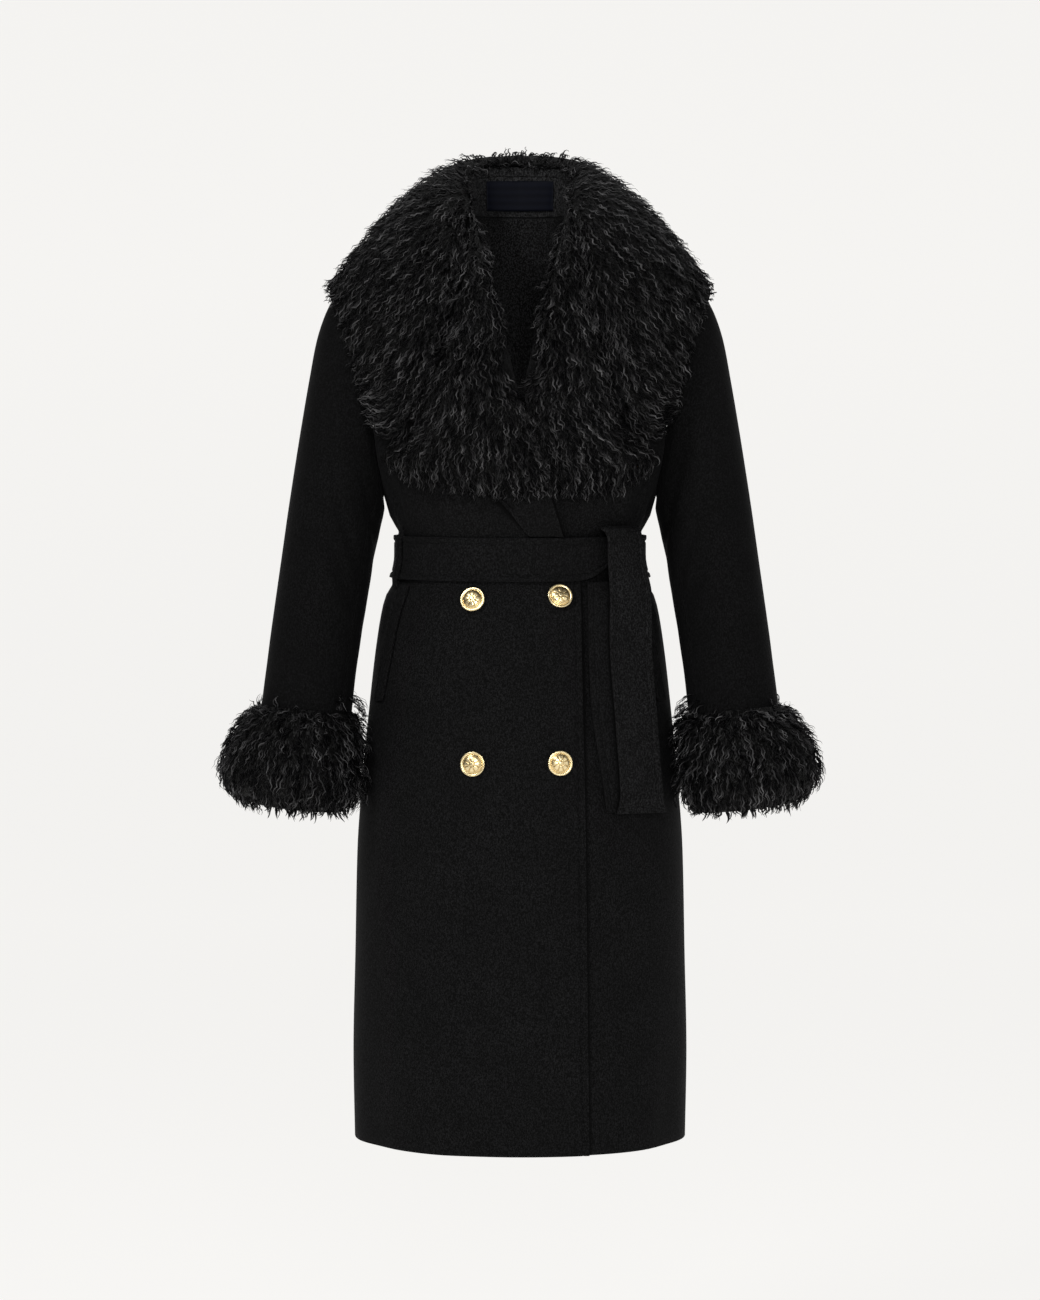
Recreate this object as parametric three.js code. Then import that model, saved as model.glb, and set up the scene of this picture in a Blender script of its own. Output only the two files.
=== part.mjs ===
// A belted, double-breasted wool overcoat with a notched fur collar and fur cuffs, filled out as worn.
// Millimetres, +Z up, the front faces -Y and the wearer's left is +X.
// The origin lies between the two side-neck points, where the coat hangs on its wearer.
import * as THREE from "three";

// ---- driving dimensions ----
const WOOL = 2.4; // double-faced coating
const SEAM = 0.4; // daylight between neighbouring pieces
const LAYER = 1.2; // daylight between a piece and what lies on it
const LAP = WOOL + LAYER; // the upper front stands this far off the lower one
const HEM = -1063;
const NECK = -4; // height of the neck seam
const SQUARENESS = 0.92; // 1 makes the rings true ellipses, less makes them squarer
const BELT = { top: -370, bottom: -421, thick: 3.2 };
// Reaches are in radians.
const KNOT = { angle: 50, halfHeight: 27, halfReach: 0.15, deep: 9, pinch: 24, pinchReach: 0.24 };
const LOOP = { from: 66, to: 72, past: 9 }; // degrees from centre front, and its run past the belt
const ARMHOLE = { top: -76, bottom: -325, front: 60, back: 66 };
const SLEEVE_STEP = 18; // degrees between the lengthwise lines of a sleeve, and between armhole points
const SLEEVE_SEAMS = { back: -108, front: 144 }; // degrees round the sleeve from its outer side
const STAND = { reach: 0.7, top: 0.77, foldTop: 0.81 }; // shares of the collar and of its fold
const LABEL = { reach: 0.166, bottom: 0.12, top: 0.72, thick: 0.8 }; // the same shares
const BUTTON = { radius: 14, rim: 2.6, rimThick: 2.4, domeHeight: 3.4, shank: 3, standOff: 1.2 };

// Horizontal rings of the coat: half width, and depth forwards and backwards from the side seams.
const TORSO = [
  { z: HEM, half: 191, front: 150, back: 142 },
  { z: -966, half: 192.5, front: 150, back: 142 },
  { z: -850, half: 190, front: 148, back: 141 },
  { z: -733, half: 187.4, front: 146, back: 140 },
  { z: -640, half: 180.5, front: 141, back: 137 },
  { z: -560, half: 172.6, front: 134, back: 131 },
  { z: -491, half: 164.4, front: 126, back: 125 },
  { z: -445, half: 156, front: 119, back: 118 },
  { z: -430, half: 149, front: 113, back: 112 },
  { z: -421, half: 142, front: 109, back: 107 },
  { z: -393, half: 136.5, front: 106, back: 102 },
  { z: -370, half: 136.5, front: 107, back: 102 },
  { z: -353, half: 147.5, front: 114, back: 108 },
  { z: -325, half: 156, front: 120, back: 114 },
  { z: -270, half: 177, front: 124, back: 119 },
  { z: -200, half: 192, front: 121, back: 122 },
  { z: -150, half: 198, front: 114, back: 120 },
  { z: -105, half: 198, front: 103, back: 113 },
  { z: ARMHOLE.top, half: 192, front: 90, back: 103 },
  { z: -52, half: 150, front: 76, back: 96 },
  { z: -28, half: 108, front: 62, back: 88 },
  { z: NECK, half: 64, front: 48, back: 78 },
];

// Soft folds in the cloth: angle in degrees round from centre front, the stretch of height, width and depth.
// A fold is deepest half way along its stretch, so one that opens at the hem has its low end far below it.
const FOLDS = [
  { angle: -64, low: -372, high: -286, width: 11, depth: 5 },
  { angle: -40, low: -371, high: -300, width: 12, depth: 3 },
  { angle: 60, low: -372, high: -282, width: 11, depth: 5 },
  { angle: 44, low: -371, high: -290, width: 12, depth: 4 },
  { angle: 128, low: -372, high: -250, width: 16, depth: 5 },
  { angle: 152, low: -371, high: -270, width: 15, depth: 4 },
  { angle: 118, low: -560, high: -420, width: 16, depth: 4 },
  { angle: 148, low: -590, high: -420, width: 18, depth: 4 },
  { angle: -58, low: -1440, high: -690, width: 42, depth: 5 },
  { angle: 62, low: -1440, high: -690, width: 42, depth: 5 },
  { angle: 112, low: -1440, high: -640, width: 36, depth: 7 },
  { angle: 146, low: -1440, high: -600, width: 40, depth: 7 },
];

// The free edge of the upper front, from the hem up the front edge and then up the roll line to the neck.
const FRONT_EDGE = [
  { z: HEM, x: 77 },
  { z: BELT.bottom, x: 66.7 },
  { z: -367, x: 47.5 },
  { z: -214, x: 0 },
  { z: -100, x: -27.5 },
  { z: NECK, x: -52 },
];

// Lapel cloth: each row runs from a height on the roll line to a point on the lapel's outer edge.
const LAPEL = [
  { roll: -366, x: 11, z: -366 },
  { roll: -318, x: -37, z: -318 },
  { roll: -292, x: -100, z: -305 },
  { roll: -262, x: -150, z: -279 },
  { roll: -232, x: -128, z: -256 },
  { roll: -150, x: -93, z: -168 },
  { roll: -70, x: -67, z: -80 },
  { roll: -12, x: -53.5, z: -12 },
];

// Lapel fur: the same, but the lowest row is the fur's own lower edge.
const LAPEL_FUR = [
  { roll: -316, x: -150, z: -284 },
  { roll: -300, x: -153, z: -278 },
  { roll: -268, x: -143, z: -268 },
  { roll: -240, x: -124, z: -254 },
  { roll: -150, x: -89, z: -168 },
  { roll: -70, x: -64, z: -80 },
  { roll: -16, x: -52, z: -16 },
];

// Left sleeve, ring by ring below the armhole: its outermost and innermost points, half depth and middle.
const SLEEVE = [
  { outX: 200, outZ: -83, inX: 156.3, inZ: -333, depth: 62, midY: 2 },
  { outX: 209, outZ: -94, inX: 155.5, inZ: -340, depth: 63, midY: 0 },
  { outX: 220, outZ: -112, inX: 157, inZ: -349, depth: 64, midY: -1 },
  { outX: 232, outZ: -146, inX: 160, inZ: -362, depth: 64.5, midY: -3 },
  { outX: 241, outZ: -193, inX: 163.5, inZ: -380, depth: 65, midY: -6 },
  { outX: 249, outZ: -240, inX: 168, inZ: -405, depth: 65, midY: -10 },
  { outX: 257, outZ: -290, inX: 173, inZ: -433, depth: 64, midY: -14 },
  { outX: 265, outZ: -343, inX: 178.5, inZ: -468, depth: 63, midY: -19 },
  { outX: 272.5, outZ: -397, inX: 183.5, inZ: -500, depth: 61, midY: -25 },
  { outX: 279.5, outZ: -447, inX: 187.5, inZ: -528, depth: 59.5, midY: -31 },
  { outX: 286, outZ: -495, inX: 190.5, inZ: -557, depth: 58, midY: -38 },
  { outX: 292, outZ: -543, inX: 193.5, inZ: -590, depth: 56.5, midY: -44 },
  { outX: 297.5, outZ: -590, inX: 197, inZ: -625, depth: 55, midY: -48 },
  { outX: 301.5, outZ: -630, inX: 200.5, inZ: -655, depth: 54, midY: -51 },
  { outX: 304.5, outZ: -660, inX: 203, inZ: -678, depth: 53.5, midY: -53 },
];

// Half of the collar from centre back to its front end: the fold by the neck, two points that shape the
// fall, and its outer edge. The angle is where the stand starts on the neck seam, round from centre front.
const COLLAR = [
  { angle: 180, fold: [0, 80, 55], rise: [0, 92, 78], fall: [0, 128, 20], edge: [0, 132, -88] },
  { angle: 144, fold: [40, 68, 53], rise: [56, 80, 74], fall: [86, 122, 4], edge: [92, 122, -98] },
  { angle: 118, fold: [58, 40, 42], rise: [84, 50, 62], fall: [150, 84, -20], edge: [168, 76, -106] },
  { angle: 97, fold: [60, 8, 22], rise: [80, 10, 46], fall: [163, 8, -22], edge: [213, 4, -87] },
  { angle: 78, fold: [57, -14, 12], rise: [78, -34, 24], fall: [163, -78, -48], edge: [195, -63, -146] },
  { angle: 71, fold: [55, -20, 8], rise: [74, -74, -2], fall: [138, -116, -110], edge: [181, -80, -194] },
  { angle: 64, fold: [53, -26, 5], rise: [70, -130, -80], fall: [126, -140, -330], edge: [167, -87, -238] },
];

// Depth of the pile from its rooted edge (0) to its tips (1).
const COLLAR_PILE = [
  { at: 0, deep: 9 },
  { at: 0.25, deep: 17 },
  { at: 0.5, deep: 19 },
  { at: 0.75, deep: 14 },
  { at: 1, deep: 6 },
];
const LAPEL_PILE = [
  { at: 0, deep: 13 },
  { at: 0.2, deep: 21 },
  { at: 0.7, deep: 21 },
  { at: 1, deep: 10 },
];
const CUFF_PILE = [
  { at: 0, deep: 6 },
  { at: 0.12, deep: 24 },
  { at: 0.35, deep: 38 },
  { at: 0.6, deep: 43 },
  { at: 0.82, deep: 36 },
  { at: 1, deep: 12 },
];
// Sleeve rings that the cuff spans on its outer and inner sides, and how far its inner side is crushed.
const CUFF = { top: 12.4, bottom: 15.35, innerTop: 11.5, innerBottom: 15.15, crushed: 0.48 };

// Front tail of the belt, hanging from the knot: its two edges at each height.
const FRONT_TAIL = [
  { z: -679, left: 109, right: 165, leftY: -135, rightY: -112 },
  { z: -660, left: 113, right: 162, leftY: -134, rightY: -112 },
  { z: -574, left: 107.5, right: 155, leftY: -127, rightY: -104 },
  { z: -480, left: 101.4, right: 149, leftY: -118, rightY: -94 },
  { z: -435, left: 102, right: 149, leftY: -112, rightY: -84 },
  { z: -400, left: 100.5, right: 142, leftY: -109, rightY: -78 },
  { z: -372, left: 100, right: 139, leftY: -109, rightY: -74 },
  { z: -362, left: 96, right: 135, leftY: -109, rightY: -73 },
  { z: -358, left: 91, right: 131, leftY: -105, rightY: -69 },
];
const UNDER_TAIL = [
  { z: -678, x: 95 },
  { z: -628, x: 88 },
  { z: -560, x: 78 },
  { z: -500, x: 75 },
  { z: -424, x: 74 },
];
const TAIL_WIDTH = 52;

// Rear-facing edge of the slanted pocket welts, and their width.
const POCKET = [
  { z: -557, x: 154 },
  { z: -511, x: 145 },
  { z: -464, x: 135.6 },
  { z: -427, x: 124 },
];
const WELT_WIDTH = 24;

const BUTTONS = [
  { name: "button_top_right", x: -52, z: -441 },
  { name: "button_top_left", x: 44, z: -437.5 },
  { name: "button_low_right", x: -52, z: -622.5 },
  { name: "button_low_left", x: 44, z: -621.5 },
];

const wool = () => new THREE.MeshStandardMaterial({ color: 0x141414, roughness: 0.95, metalness: 0 });
const fur = () => new THREE.MeshStandardMaterial({ color: 0x0f0f10, roughness: 0.6, metalness: 0 });
const brass = () => new THREE.MeshStandardMaterial({ color: 0xc9a24a, roughness: 0.3, metalness: 1 });
const satin = () => new THREE.MeshStandardMaterial({ color: 0x10152b, roughness: 0.5, metalness: 0 });

// ---- reading the tables ----
const radians = THREE.MathUtils.degToRad;
const mix = THREE.MathUtils.lerp;

// Evenly spaced numbers from a to b, both included.
function spread(a, b, steps) {
  return Array.from({ length: steps + 1 }, (_, i) => mix(a, b, i / steps));
}

// One column of a table as a smooth function of another that never overshoots its rows.
function column(rows, by, name) {
  const sorted = [...rows].sort((p, q) => p[by] - q[by]);
  const at = sorted.map((row) => row[by]);
  const value = sorted.map((row) => row[name]);
  const slope = at.slice(1).map((x, i) => (value[i + 1] - value[i]) / (x - at[i]));
  const tangent = at.map((_, i) => {
    if (i === 0) return slope[0];
    if (i === at.length - 1) return slope[i - 1];
    if (slope[i - 1] * slope[i] <= 0) return 0;
    return 2 / (1 / slope[i - 1] + 1 / slope[i]);
  });
  return (x) => {
    const i = at.slice(1, -1).filter((knot) => knot <= x).length;
    const width = at[i + 1] - at[i];
    const t = THREE.MathUtils.clamp((x - at[i]) / width, 0, 1);
    const s = 1 - t;
    const ends = value[i] * (1 + 2 * t) * s * s + value[i + 1] * (3 - 2 * t) * t * t;
    return ends + width * (tangent[i] * t * s * s - tangent[i + 1] * t * t * s);
  };
}

// A smooth curve through one vector column of a table, run from 0 to 1.
function vectorColumn(rows, name) {
  const curve = new THREE.CatmullRomCurve3(rows.map((row) => new THREE.Vector3(...row[name])));
  return (t) => curve.getPoint(t);
}

const half = column(TORSO, "z", "half");
const frontDepth = column(TORSO, "z", "front");
const backDepth = column(TORSO, "z", "back");
const frontEdge = column(FRONT_EDGE, "z", "x");

// ---- the coat's own surface ----
function foldDepth(angle, z) {
  const reach = half(z);
  return FOLDS.reduce((sum, fold) => {
    const along = (z - fold.low) / (fold.high - fold.low);
    if (along <= 0 || along >= 1) return sum;
    const across = ((angle - radians(fold.angle)) * reach) / fold.width;
    return sum + fold.depth * Math.exp(-across * across) * Math.sin(Math.PI * along) ** 2;
  }, 0);
}

const bent = (value) => Math.sign(value) * Math.abs(value) ** SQUARENESS;

// A point of the coat's outer face, from an angle round from centre front and a height. What lies on the
// coat bridges its folds, so it is made from the smooth face.
function torso(angle, z, folded = false) {
  const depth = Math.cos(angle) > 0 ? frontDepth(z) : backDepth(z);
  const inwards = folded ? foldDepth(angle, z) : 0;
  const x = (half(z) - inwards) * bent(Math.sin(angle));
  const y = -(depth - inwards) * bent(Math.cos(angle));
  return new THREE.Vector3(x, y, z);
}

// The outward normal of a surface that takes an angle and a second measure, from points close by.
function surfaceNormal(surface, angle, along, step, limit = Infinity) {
  const far = Math.min(along + step, limit);
  const round = surface(angle + 0.01, along).sub(surface(angle - 0.01, along));
  const onwards = surface(angle, far).sub(surface(angle, far - 2 * step));
  return round.cross(onwards).normalize();
}

const torsoNormal = (angle, z) => surfaceNormal(torso, angle, z, 1, NECK);

// The same point moved straight out of the cloth.
const onTorso = (angle, z, lift, folded = false) =>
  torso(angle, z, folded).addScaledVector(torsoNormal(angle, z), lift);

// The angle at which the front of a ring reaches a given x.
function frontAngle(x, z) {
  const share = THREE.MathUtils.clamp(x / half(z), -1, 1);
  return Math.asin(Math.sign(share) * Math.abs(share) ** (1 / SQUARENESS));
}

// The angle of a ring at which it is y in front of or behind the side seams.
function angleAtDepth(y, z) {
  const share = Math.min(1, Math.abs(y) / (y < 0 ? frontDepth(z) : backDepth(z))) ** (1 / SQUARENESS);
  return y < 0 ? Math.acos(share) : Math.PI - Math.acos(share);
}

const armholeMiddle = (ARMHOLE.top + ARMHOLE.bottom) / 2;
const armholeRadius = (ARMHOLE.top - ARMHOLE.bottom) / 2;

// Where a panel ends at its side: at the side seam, the armhole or the shoulder seam.
function sideAngle(z, reach) {
  const share = (z - armholeMiddle) / armholeRadius;
  return Math.abs(share) >= 1 ? Math.PI / 2 : angleAtDepth(reach * Math.sqrt(1 - share * share), z);
}

// The upper front stands off the coat's surface where it laps over the lower front.
const upperLift = (x, z) =>
  LAP * THREE.MathUtils.smoothstep(x, -135, -80) * THREE.MathUtils.smoothstep(-z, 110, 200);
const noLift = () => 0;

// ---- walls ----
// A closed solid between two grids of points, rows by columns; round joins the last column to the first.
function solidBetween(outer, inner, round = false) {
  const rows = outer.length;
  const columns = outer[0].length;
  const count = rows * columns;
  const sheet = [];
  for (let i = 0; i < rows - 1; i++) {
    for (let j = 0; j < columns - (round ? 0 : 1); j++) {
      const [a, b] = [i * columns + j, i * columns + ((j + 1) % columns)];
      sheet.push([a, b, b + columns], [a, b + columns, a + columns]);
    }
  }
  const edges = sheet.flatMap(([a, b, c]) => [[a, b], [b, c], [c, a]]);
  const known = new Set(edges.map(String));
  const rim = edges.filter(([a, b]) => !known.has(String([b, a])));
  const faces = [
    ...sheet,
    ...sheet.map(([a, b, c]) => [c + count, b + count, a + count]),
    ...rim.flatMap(([a, b]) => [[b, a, a + count], [b, a + count, b + count]]),
  ];
  const points = [...outer.flat(), ...inner.flat()];
  const volume = faces.reduce((sum, [a, b, c]) => sum + points[a].dot(points[b].clone().cross(points[c])), 0);
  const index = volume > 0 ? faces.flat() : faces.flatMap(([a, b, c]) => [a, c, b]);
  const geometry = new THREE.BufferGeometry().setFromPoints(points).setIndex(index);
  geometry.computeVertexNormals();
  return geometry;
}

// The unit normals of a grid of points, to the side on which (columns x rows) points.
function gridNormals(grid, round = false) {
  const columns = grid[0].length;
  return grid.map((row, i) =>
    row.map((_, j) => {
      const before = round ? (j + columns - 1) % columns : Math.max(0, j - 1);
      const after = round ? (j + 1) % columns : Math.min(columns - 1, j + 1);
      const across = row[after].clone().sub(row[before]);
      const along = grid[Math.min(grid.length - 1, i + 1)][j].clone().sub(grid[Math.max(0, i - 1)][j]);
      return across.cross(along).normalize();
    }),
  );
}

// A grid moved along its normals by a distance, which may differ from point to point.
function moved(grid, normals, distance) {
  return grid.map((row, i) =>
    row.map((point, j) => {
      const far = typeof distance === "number" ? distance : distance(i, j);
      return point.clone().addScaledVector(normals[i][j], far);
    }),
  );
}

// A cloth wall on the coat's surface, rows of angles at each height, its outer face lifted by lift(x, z).
function torsoWall(levels, anglesAt, lift, thick, folded = false) {
  const place = (extra) =>
    levels.map((z) =>
      anglesAt(z).map((angle) => onTorso(angle, z, lift(torso(angle, z).x, z) + extra, folded)),
    );
  return solidBetween(place(0), place(-thick));
}

// The same geometry on the wearer's other side.
function mirrored(geometry) {
  const copy = geometry.clone().scale(-1, 1, 1);
  const index = [...geometry.index.array];
  copy.setIndex(index.map((_, i) => index[i - (i % 3) + [0, 2, 1][i % 3]]));
  copy.computeVertexNormals();
  return copy;
}

const coat = new THREE.Group();
coat.name = "overcoat";

function add(name, geometry, material) {
  const mesh = new THREE.Mesh(geometry, material);
  mesh.name = name;
  coat.add(mesh);
}

function addPair(name, leftGeometry, material) {
  add(name + "_left", leftGeometry, material());
  add(name + "_right", mirrored(leftGeometry), material());
}

// ---- fronts and backs ----
const PANEL_LEVELS = [
  ...spread(HEM, -448, 7),
  ...[-430, -421, -395, -370, -353],
  ...spread(180, 0, 180 / SLEEVE_STEP).map((turn) => armholeMiddle + armholeRadius * Math.cos(radians(turn))),
  ...spread(ARMHOLE.top, NECK, 3).slice(1),
];

function fronts() {
  const columns = 12;
  const side = (z) => sideAngle(z, -ARMHOLE.front);
  const right = (z) => spread(-side(z), frontAngle(frontEdge(z), z), columns);
  const left = (z) => spread(frontAngle(-frontEdge(z), z), side(z), columns);
  add("front_right", torsoWall(PANEL_LEVELS, right, upperLift, WOOL, true), wool());
  add("front_left", torsoWall(PANEL_LEVELS, left, noLift, WOOL, true), wool());
}

function backs() {
  const seam = (z) => SEAM / 2 / half(z); // half of the daylight at a seam, as an angle
  const angles = (z) => spread(sideAngle(z, ARMHOLE.back) + 2 * seam(z), Math.PI - seam(z), 9);
  addPair("back", torsoWall(PANEL_LEVELS, angles, noLift, WOOL, true), wool);
}

// ---- sleeves ----
// A point of the armhole seam, from an angle round the sleeve: 0 at the shoulder, 90 in front.
function armhole(turn, lift) {
  const shrink = SEAM * 3;
  const z = armholeMiddle + (armholeRadius - shrink) * Math.cos(turn);
  const forwards = Math.sin(turn);
  const y = -forwards * ((forwards > 0 ? ARMHOLE.front : ARMHOLE.back) - shrink);
  return onTorso(angleAtDepth(y, z), z, lift + LAYER * Math.max(0, -Math.cos(turn)));
}

const sleeveColumns = Object.fromEntries(
  ["outX", "outZ", "inX", "inZ", "depth", "midY"].map((name) => {
    const numbered = SLEEVE.map((row, i) => ({ ring: i + 1, value: row[name] }));
    return [name, column(numbered, "ring", "value")];
  }),
);

// A point of the left sleeve's outer face: ring 1 is the first below the armhole.
function sleeve(turn, ring) {
  const [outX, outZ, inX, inZ, depth, midY] = Object.values(sleeveColumns).map((read) => read(ring));
  const outwards = (1 + Math.cos(turn)) / 2;
  const overrun = Math.max(0, ring - SLEEVE.length) * 30; // straight on past the sleeve's own hem
  return new THREE.Vector3(
    mix(inX, outX, outwards) + overrun * 0.1,
    midY - depth * Math.sin(turn),
    mix(inZ, outZ, outwards) - overrun,
  );
}

// The same point moved straight out of the sleeve.
const onSleeve = (turn, ring, lift) =>
  sleeve(turn, ring).addScaledVector(surfaceNormal(sleeve, turn, ring, 0.1), lift);

// Each sleeve is one tube, its armhole ring first, that the two long seams part into an upper and an under.
function sleeves() {
  const { back, front } = SLEEVE_SEAMS;
  const gap = 0.3; // degrees
  const stretch = (from, to) =>
    spread(from + gap, to - gap, Math.round((to - from) / SLEEVE_STEP)).map(radians);
  const upper = stretch(back, front);
  const turns = [...upper, ...stretch(front, back + 360)];
  const rings = spread(1, SLEEVE.length, SLEEVE.length - 1);
  const face = (lift) => [
    turns.map((turn) => armhole(turn, lift)),
    ...rings.map((ring) => turns.map((turn) => onSleeve(turn, ring, lift))),
  ];
  const grids = [face(0), face(-WOOL)];
  const part = (from, to) => solidBetween(...grids.map((grid) => grid.map((row) => row.slice(from, to))));
  addPair("sleeve_upper", part(0, upper.length), wool);
  addPair("sleeve_under", part(upper.length), wool);
}

// ---- what the collar rests on ----
// Points and outward normals of the fronts, backs and sleeve heads.
function carriers() {
  const found = [];
  const collect = (grid) => {
    const normals = gridNormals(grid);
    grid.forEach((row, i) => row.forEach((point, j) => found.push({ point, normal: normals[i][j] })));
  };
  const body = spread(-300, NECK, 40).map((z) =>
    spread(-180, 180, 90).map((turn) => {
      const angle = radians(turn);
      return onTorso(angle, z, Math.cos(angle) > 0 ? upperLift(torso(angle, z).x, z) : 0);
    }),
  );
  const turns = spread(-180, 180, 60).map(radians);
  const left = spread(1, 8, 28).map((ring) => turns.map((turn) => sleeve(turn, ring)));
  const flipped = (point) => new THREE.Vector3(-point.x, point.y, point.z);
  const right = left.map((row) => row.map(flipped).reverse());
  [body, left, right].forEach(collect);
  return found;
}

// Each point of a grid, moved out of the nearest cloth until it clears it.
function settled(grid, cloth, clearance) {
  return grid.map((row) =>
    row.map((start) => {
      const point = start.clone();
      for (let pass = 0; pass < 3; pass++) {
        let nearest = cloth[0];
        let best = Infinity;
        for (const candidate of cloth) {
          const distance = candidate.point.distanceToSquared(point);
          if (distance < best) [nearest, best] = [candidate, distance];
        }
        const height = point.clone().sub(nearest.point).dot(nearest.normal);
        if (height < clearance) point.addScaledVector(nearest.normal, clearance - height);
      }
      return point;
    }),
  );
}

// ---- collar ----
// Stations run from -1 at the right front end, round the back of the neck, to 1 at the left.
const STATIONS = spread(-1, 1, 36);
const [foldLine, riseLine, fallLine, edgeLine] = ["fold", "rise", "fall", "edge"].map((name) =>
  vectorColumn(COLLAR, name),
);
const collarAngles = COLLAR.map((row, i) => ({ at: i / (COLLAR.length - 1), angle: row.angle }));
const neckAngle = column(collarAngles, "at", "angle");

// A point under the fur, from the fold by the neck (0) to the outer edge (1).
function collarPoint(station, out) {
  const t = Math.abs(station);
  const curve = new THREE.CubicBezierCurve3(foldLine(t), riseLine(t), fallLine(t), edgeLine(t));
  const point = curve.getPoint(out);
  point.x *= Math.sign(station);
  return point;
}

function neckSeam(station) {
  const angle = radians(neckAngle(Math.abs(station)));
  const point = torso(angle, NECK).add(new THREE.Vector3(0, 0, SEAM));
  point.x *= Math.sign(station);
  return point;
}

// A point of the stand, from the neck seam (0) to the fold (1).
const standPoint = (station, up) => neckSeam(station).lerp(collarPoint(station, 0), up);

// Height of the curly locks that ridge the pile: waves across the lie of the hair that wander as they run.
function locks(across, along, size) {
  const wander = 1.4 * Math.sin(5 * along + 3 * Math.sin(0.7 * across));
  return size * (0.6 * Math.sin(across + wander) + 0.4 * Math.sin(2.3 * across - wander));
}

function collar() {
  const cloth = carriers();
  const rows = spread(0, 1, 8);
  const deepAt = column(COLLAR_PILE, "at", "deep");
  const free = rows.map((out) => STATIONS.map((station) => collarPoint(station, out)));
  const under = settled(free, cloth, WOOL + 5.2 * LAYER);
  const normals = gridNormals(under);
  const pile = (i, j) => deepAt(rows[i]) + locks(STATIONS[j] * 44, rows[i] * 2, 3) * Math.sqrt(rows[i]);
  add("fur_collar", solidBetween(moved(under, normals, pile), under), fur());

  // The under-collar turns up from the stand, over the fold, and lies under the fur.
  const turn = STATIONS.map((station) => standPoint(station, STAND.foldTop));
  const fall = [turn, ...moved(under, normals, -SEAM).slice(0, -1)];
  const inner = moved(fall, gridNormals(fall), -WOOL);
  add("under_collar", solidBetween(fall, inner), wool());

  const within = STATIONS.filter((station) => Math.abs(station) < STAND.reach);
  const stand = [0, STAND.top].map((up) => within.map((station) => standPoint(station, up)));
  add("collar_stand", solidBetween(stand, moved(stand, gridNormals(stand), -WOOL)), wool());

  // The maker's label lies on the inside of the stand at centre back.
  const backing = [LABEL.bottom, LABEL.top].map((up) =>
    spread(-LABEL.reach, LABEL.reach, 8).map((station) => standPoint(station, up)),
  );
  const inwards = gridNormals(backing);
  const face = moved(backing, inwards, LAYER + LABEL.thick);
  add("neck_label", solidBetween(face, moved(backing, inwards, LAYER)), satin());
}

// ---- lapels ----
// A grid over the chest: columns from the lapel's outer edge to its roll line, rows up the lapel.
function lapelGrid(rows, columns, perRow, lift, { side, bulge = 0, lowest = 0 }) {
  const numbered = rows.map((row, i) => ({ ...row, i }));
  const [rollAt, edgeX, edgeZ] = ["roll", "x", "z"].map((name) => column(numbered, "i", name));
  return spread(lowest, rows.length - 1, (rows.length - 1 - lowest) * perRow).map((i) => {
    const z = rollAt(i);
    const overlapped = side > 0 && frontEdge(z) > -frontEdge(z);
    const rollX = overlapped ? frontEdge(z) + 3 : -side * frontEdge(z);
    return spread(0, 1, columns).map((across) => {
      const x = mix(-side * edgeX(i), rollX, across);
      const drop = bulge * Math.sin(Math.PI * across) * Math.max(0, 1 - i);
      const height = mix(edgeZ(i), z, across) - drop;
      return onTorso(frontAngle(x, height), height, lift(x, height, across, i));
    });
  });
}

function lapels() {
  const deepAt = column(LAPEL_PILE, "at", "deep");
  [["right", -1, upperLift], ["left", 1, noLift]].forEach(([name, side, under]) => {
    const lowest = side > 0 ? 1 : 0; // the left lapel ends where the upper front crosses it
    const cloth = (extra) =>
      lapelGrid(LAPEL, 8, 2, (x, z) => under(x, z) + 2 * LAYER + extra, { side, lowest });
    add("lapel_" + name, solidBetween(cloth(WOOL), cloth(0)), wool());

    const root = (x, z) => under(x, z) + WOOL + 3 * LAYER;
    const tuft = (x, z, across, i) => {
      const ends = Math.min(1, 0.45 + 0.6 * Math.min(i, LAPEL_FUR.length - 1 - i));
      return root(x, z) + deepAt(1 - across) * ends + locks(x * 0.28, i * 0.9, 2.4);
    };
    const size = { side, bulge: 14 };
    const outer = lapelGrid(LAPEL_FUR, 10, 2, tuft, size);
    add("fur_lapel_" + name, solidBetween(outer, lapelGrid(LAPEL_FUR, 10, 2, root, size)), fur());
  });
}

// ---- cuffs ----
function cuffs() {
  const rows = spread(0, 1, 8);
  const turns = spread(-180, 180, 26).slice(0, -1).map(radians);
  const deepAt = column(CUFF_PILE, "at", "deep");
  const ring = (turn, at) => {
    const inner = (1 - Math.cos(turn)) / 2;
    return mix(mix(CUFF.top, CUFF.innerTop, inner), mix(CUFF.bottom, CUFF.innerBottom, inner), at);
  };
  const sleeveGrid = rows.map((at) => turns.map((turn) => sleeve(turn, ring(turn, at))));
  const normals = gridNormals(sleeveGrid, true);
  const under = moved(sleeveGrid, normals, LAYER);
  const pile = (i, j) => {
    const crushed = mix(CUFF.crushed, 1, THREE.MathUtils.smoothstep(Math.cos(turns[j]), -1, -0.2));
    return deepAt(rows[i]) * crushed + locks(turns[j] * 7, rows[i] * 2, 2.5) * (rows[i] > 0 ? 1 : 0);
  };
  addPair("fur_cuff", solidBetween(moved(under, normals, pile), under, true), fur);
}

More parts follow.
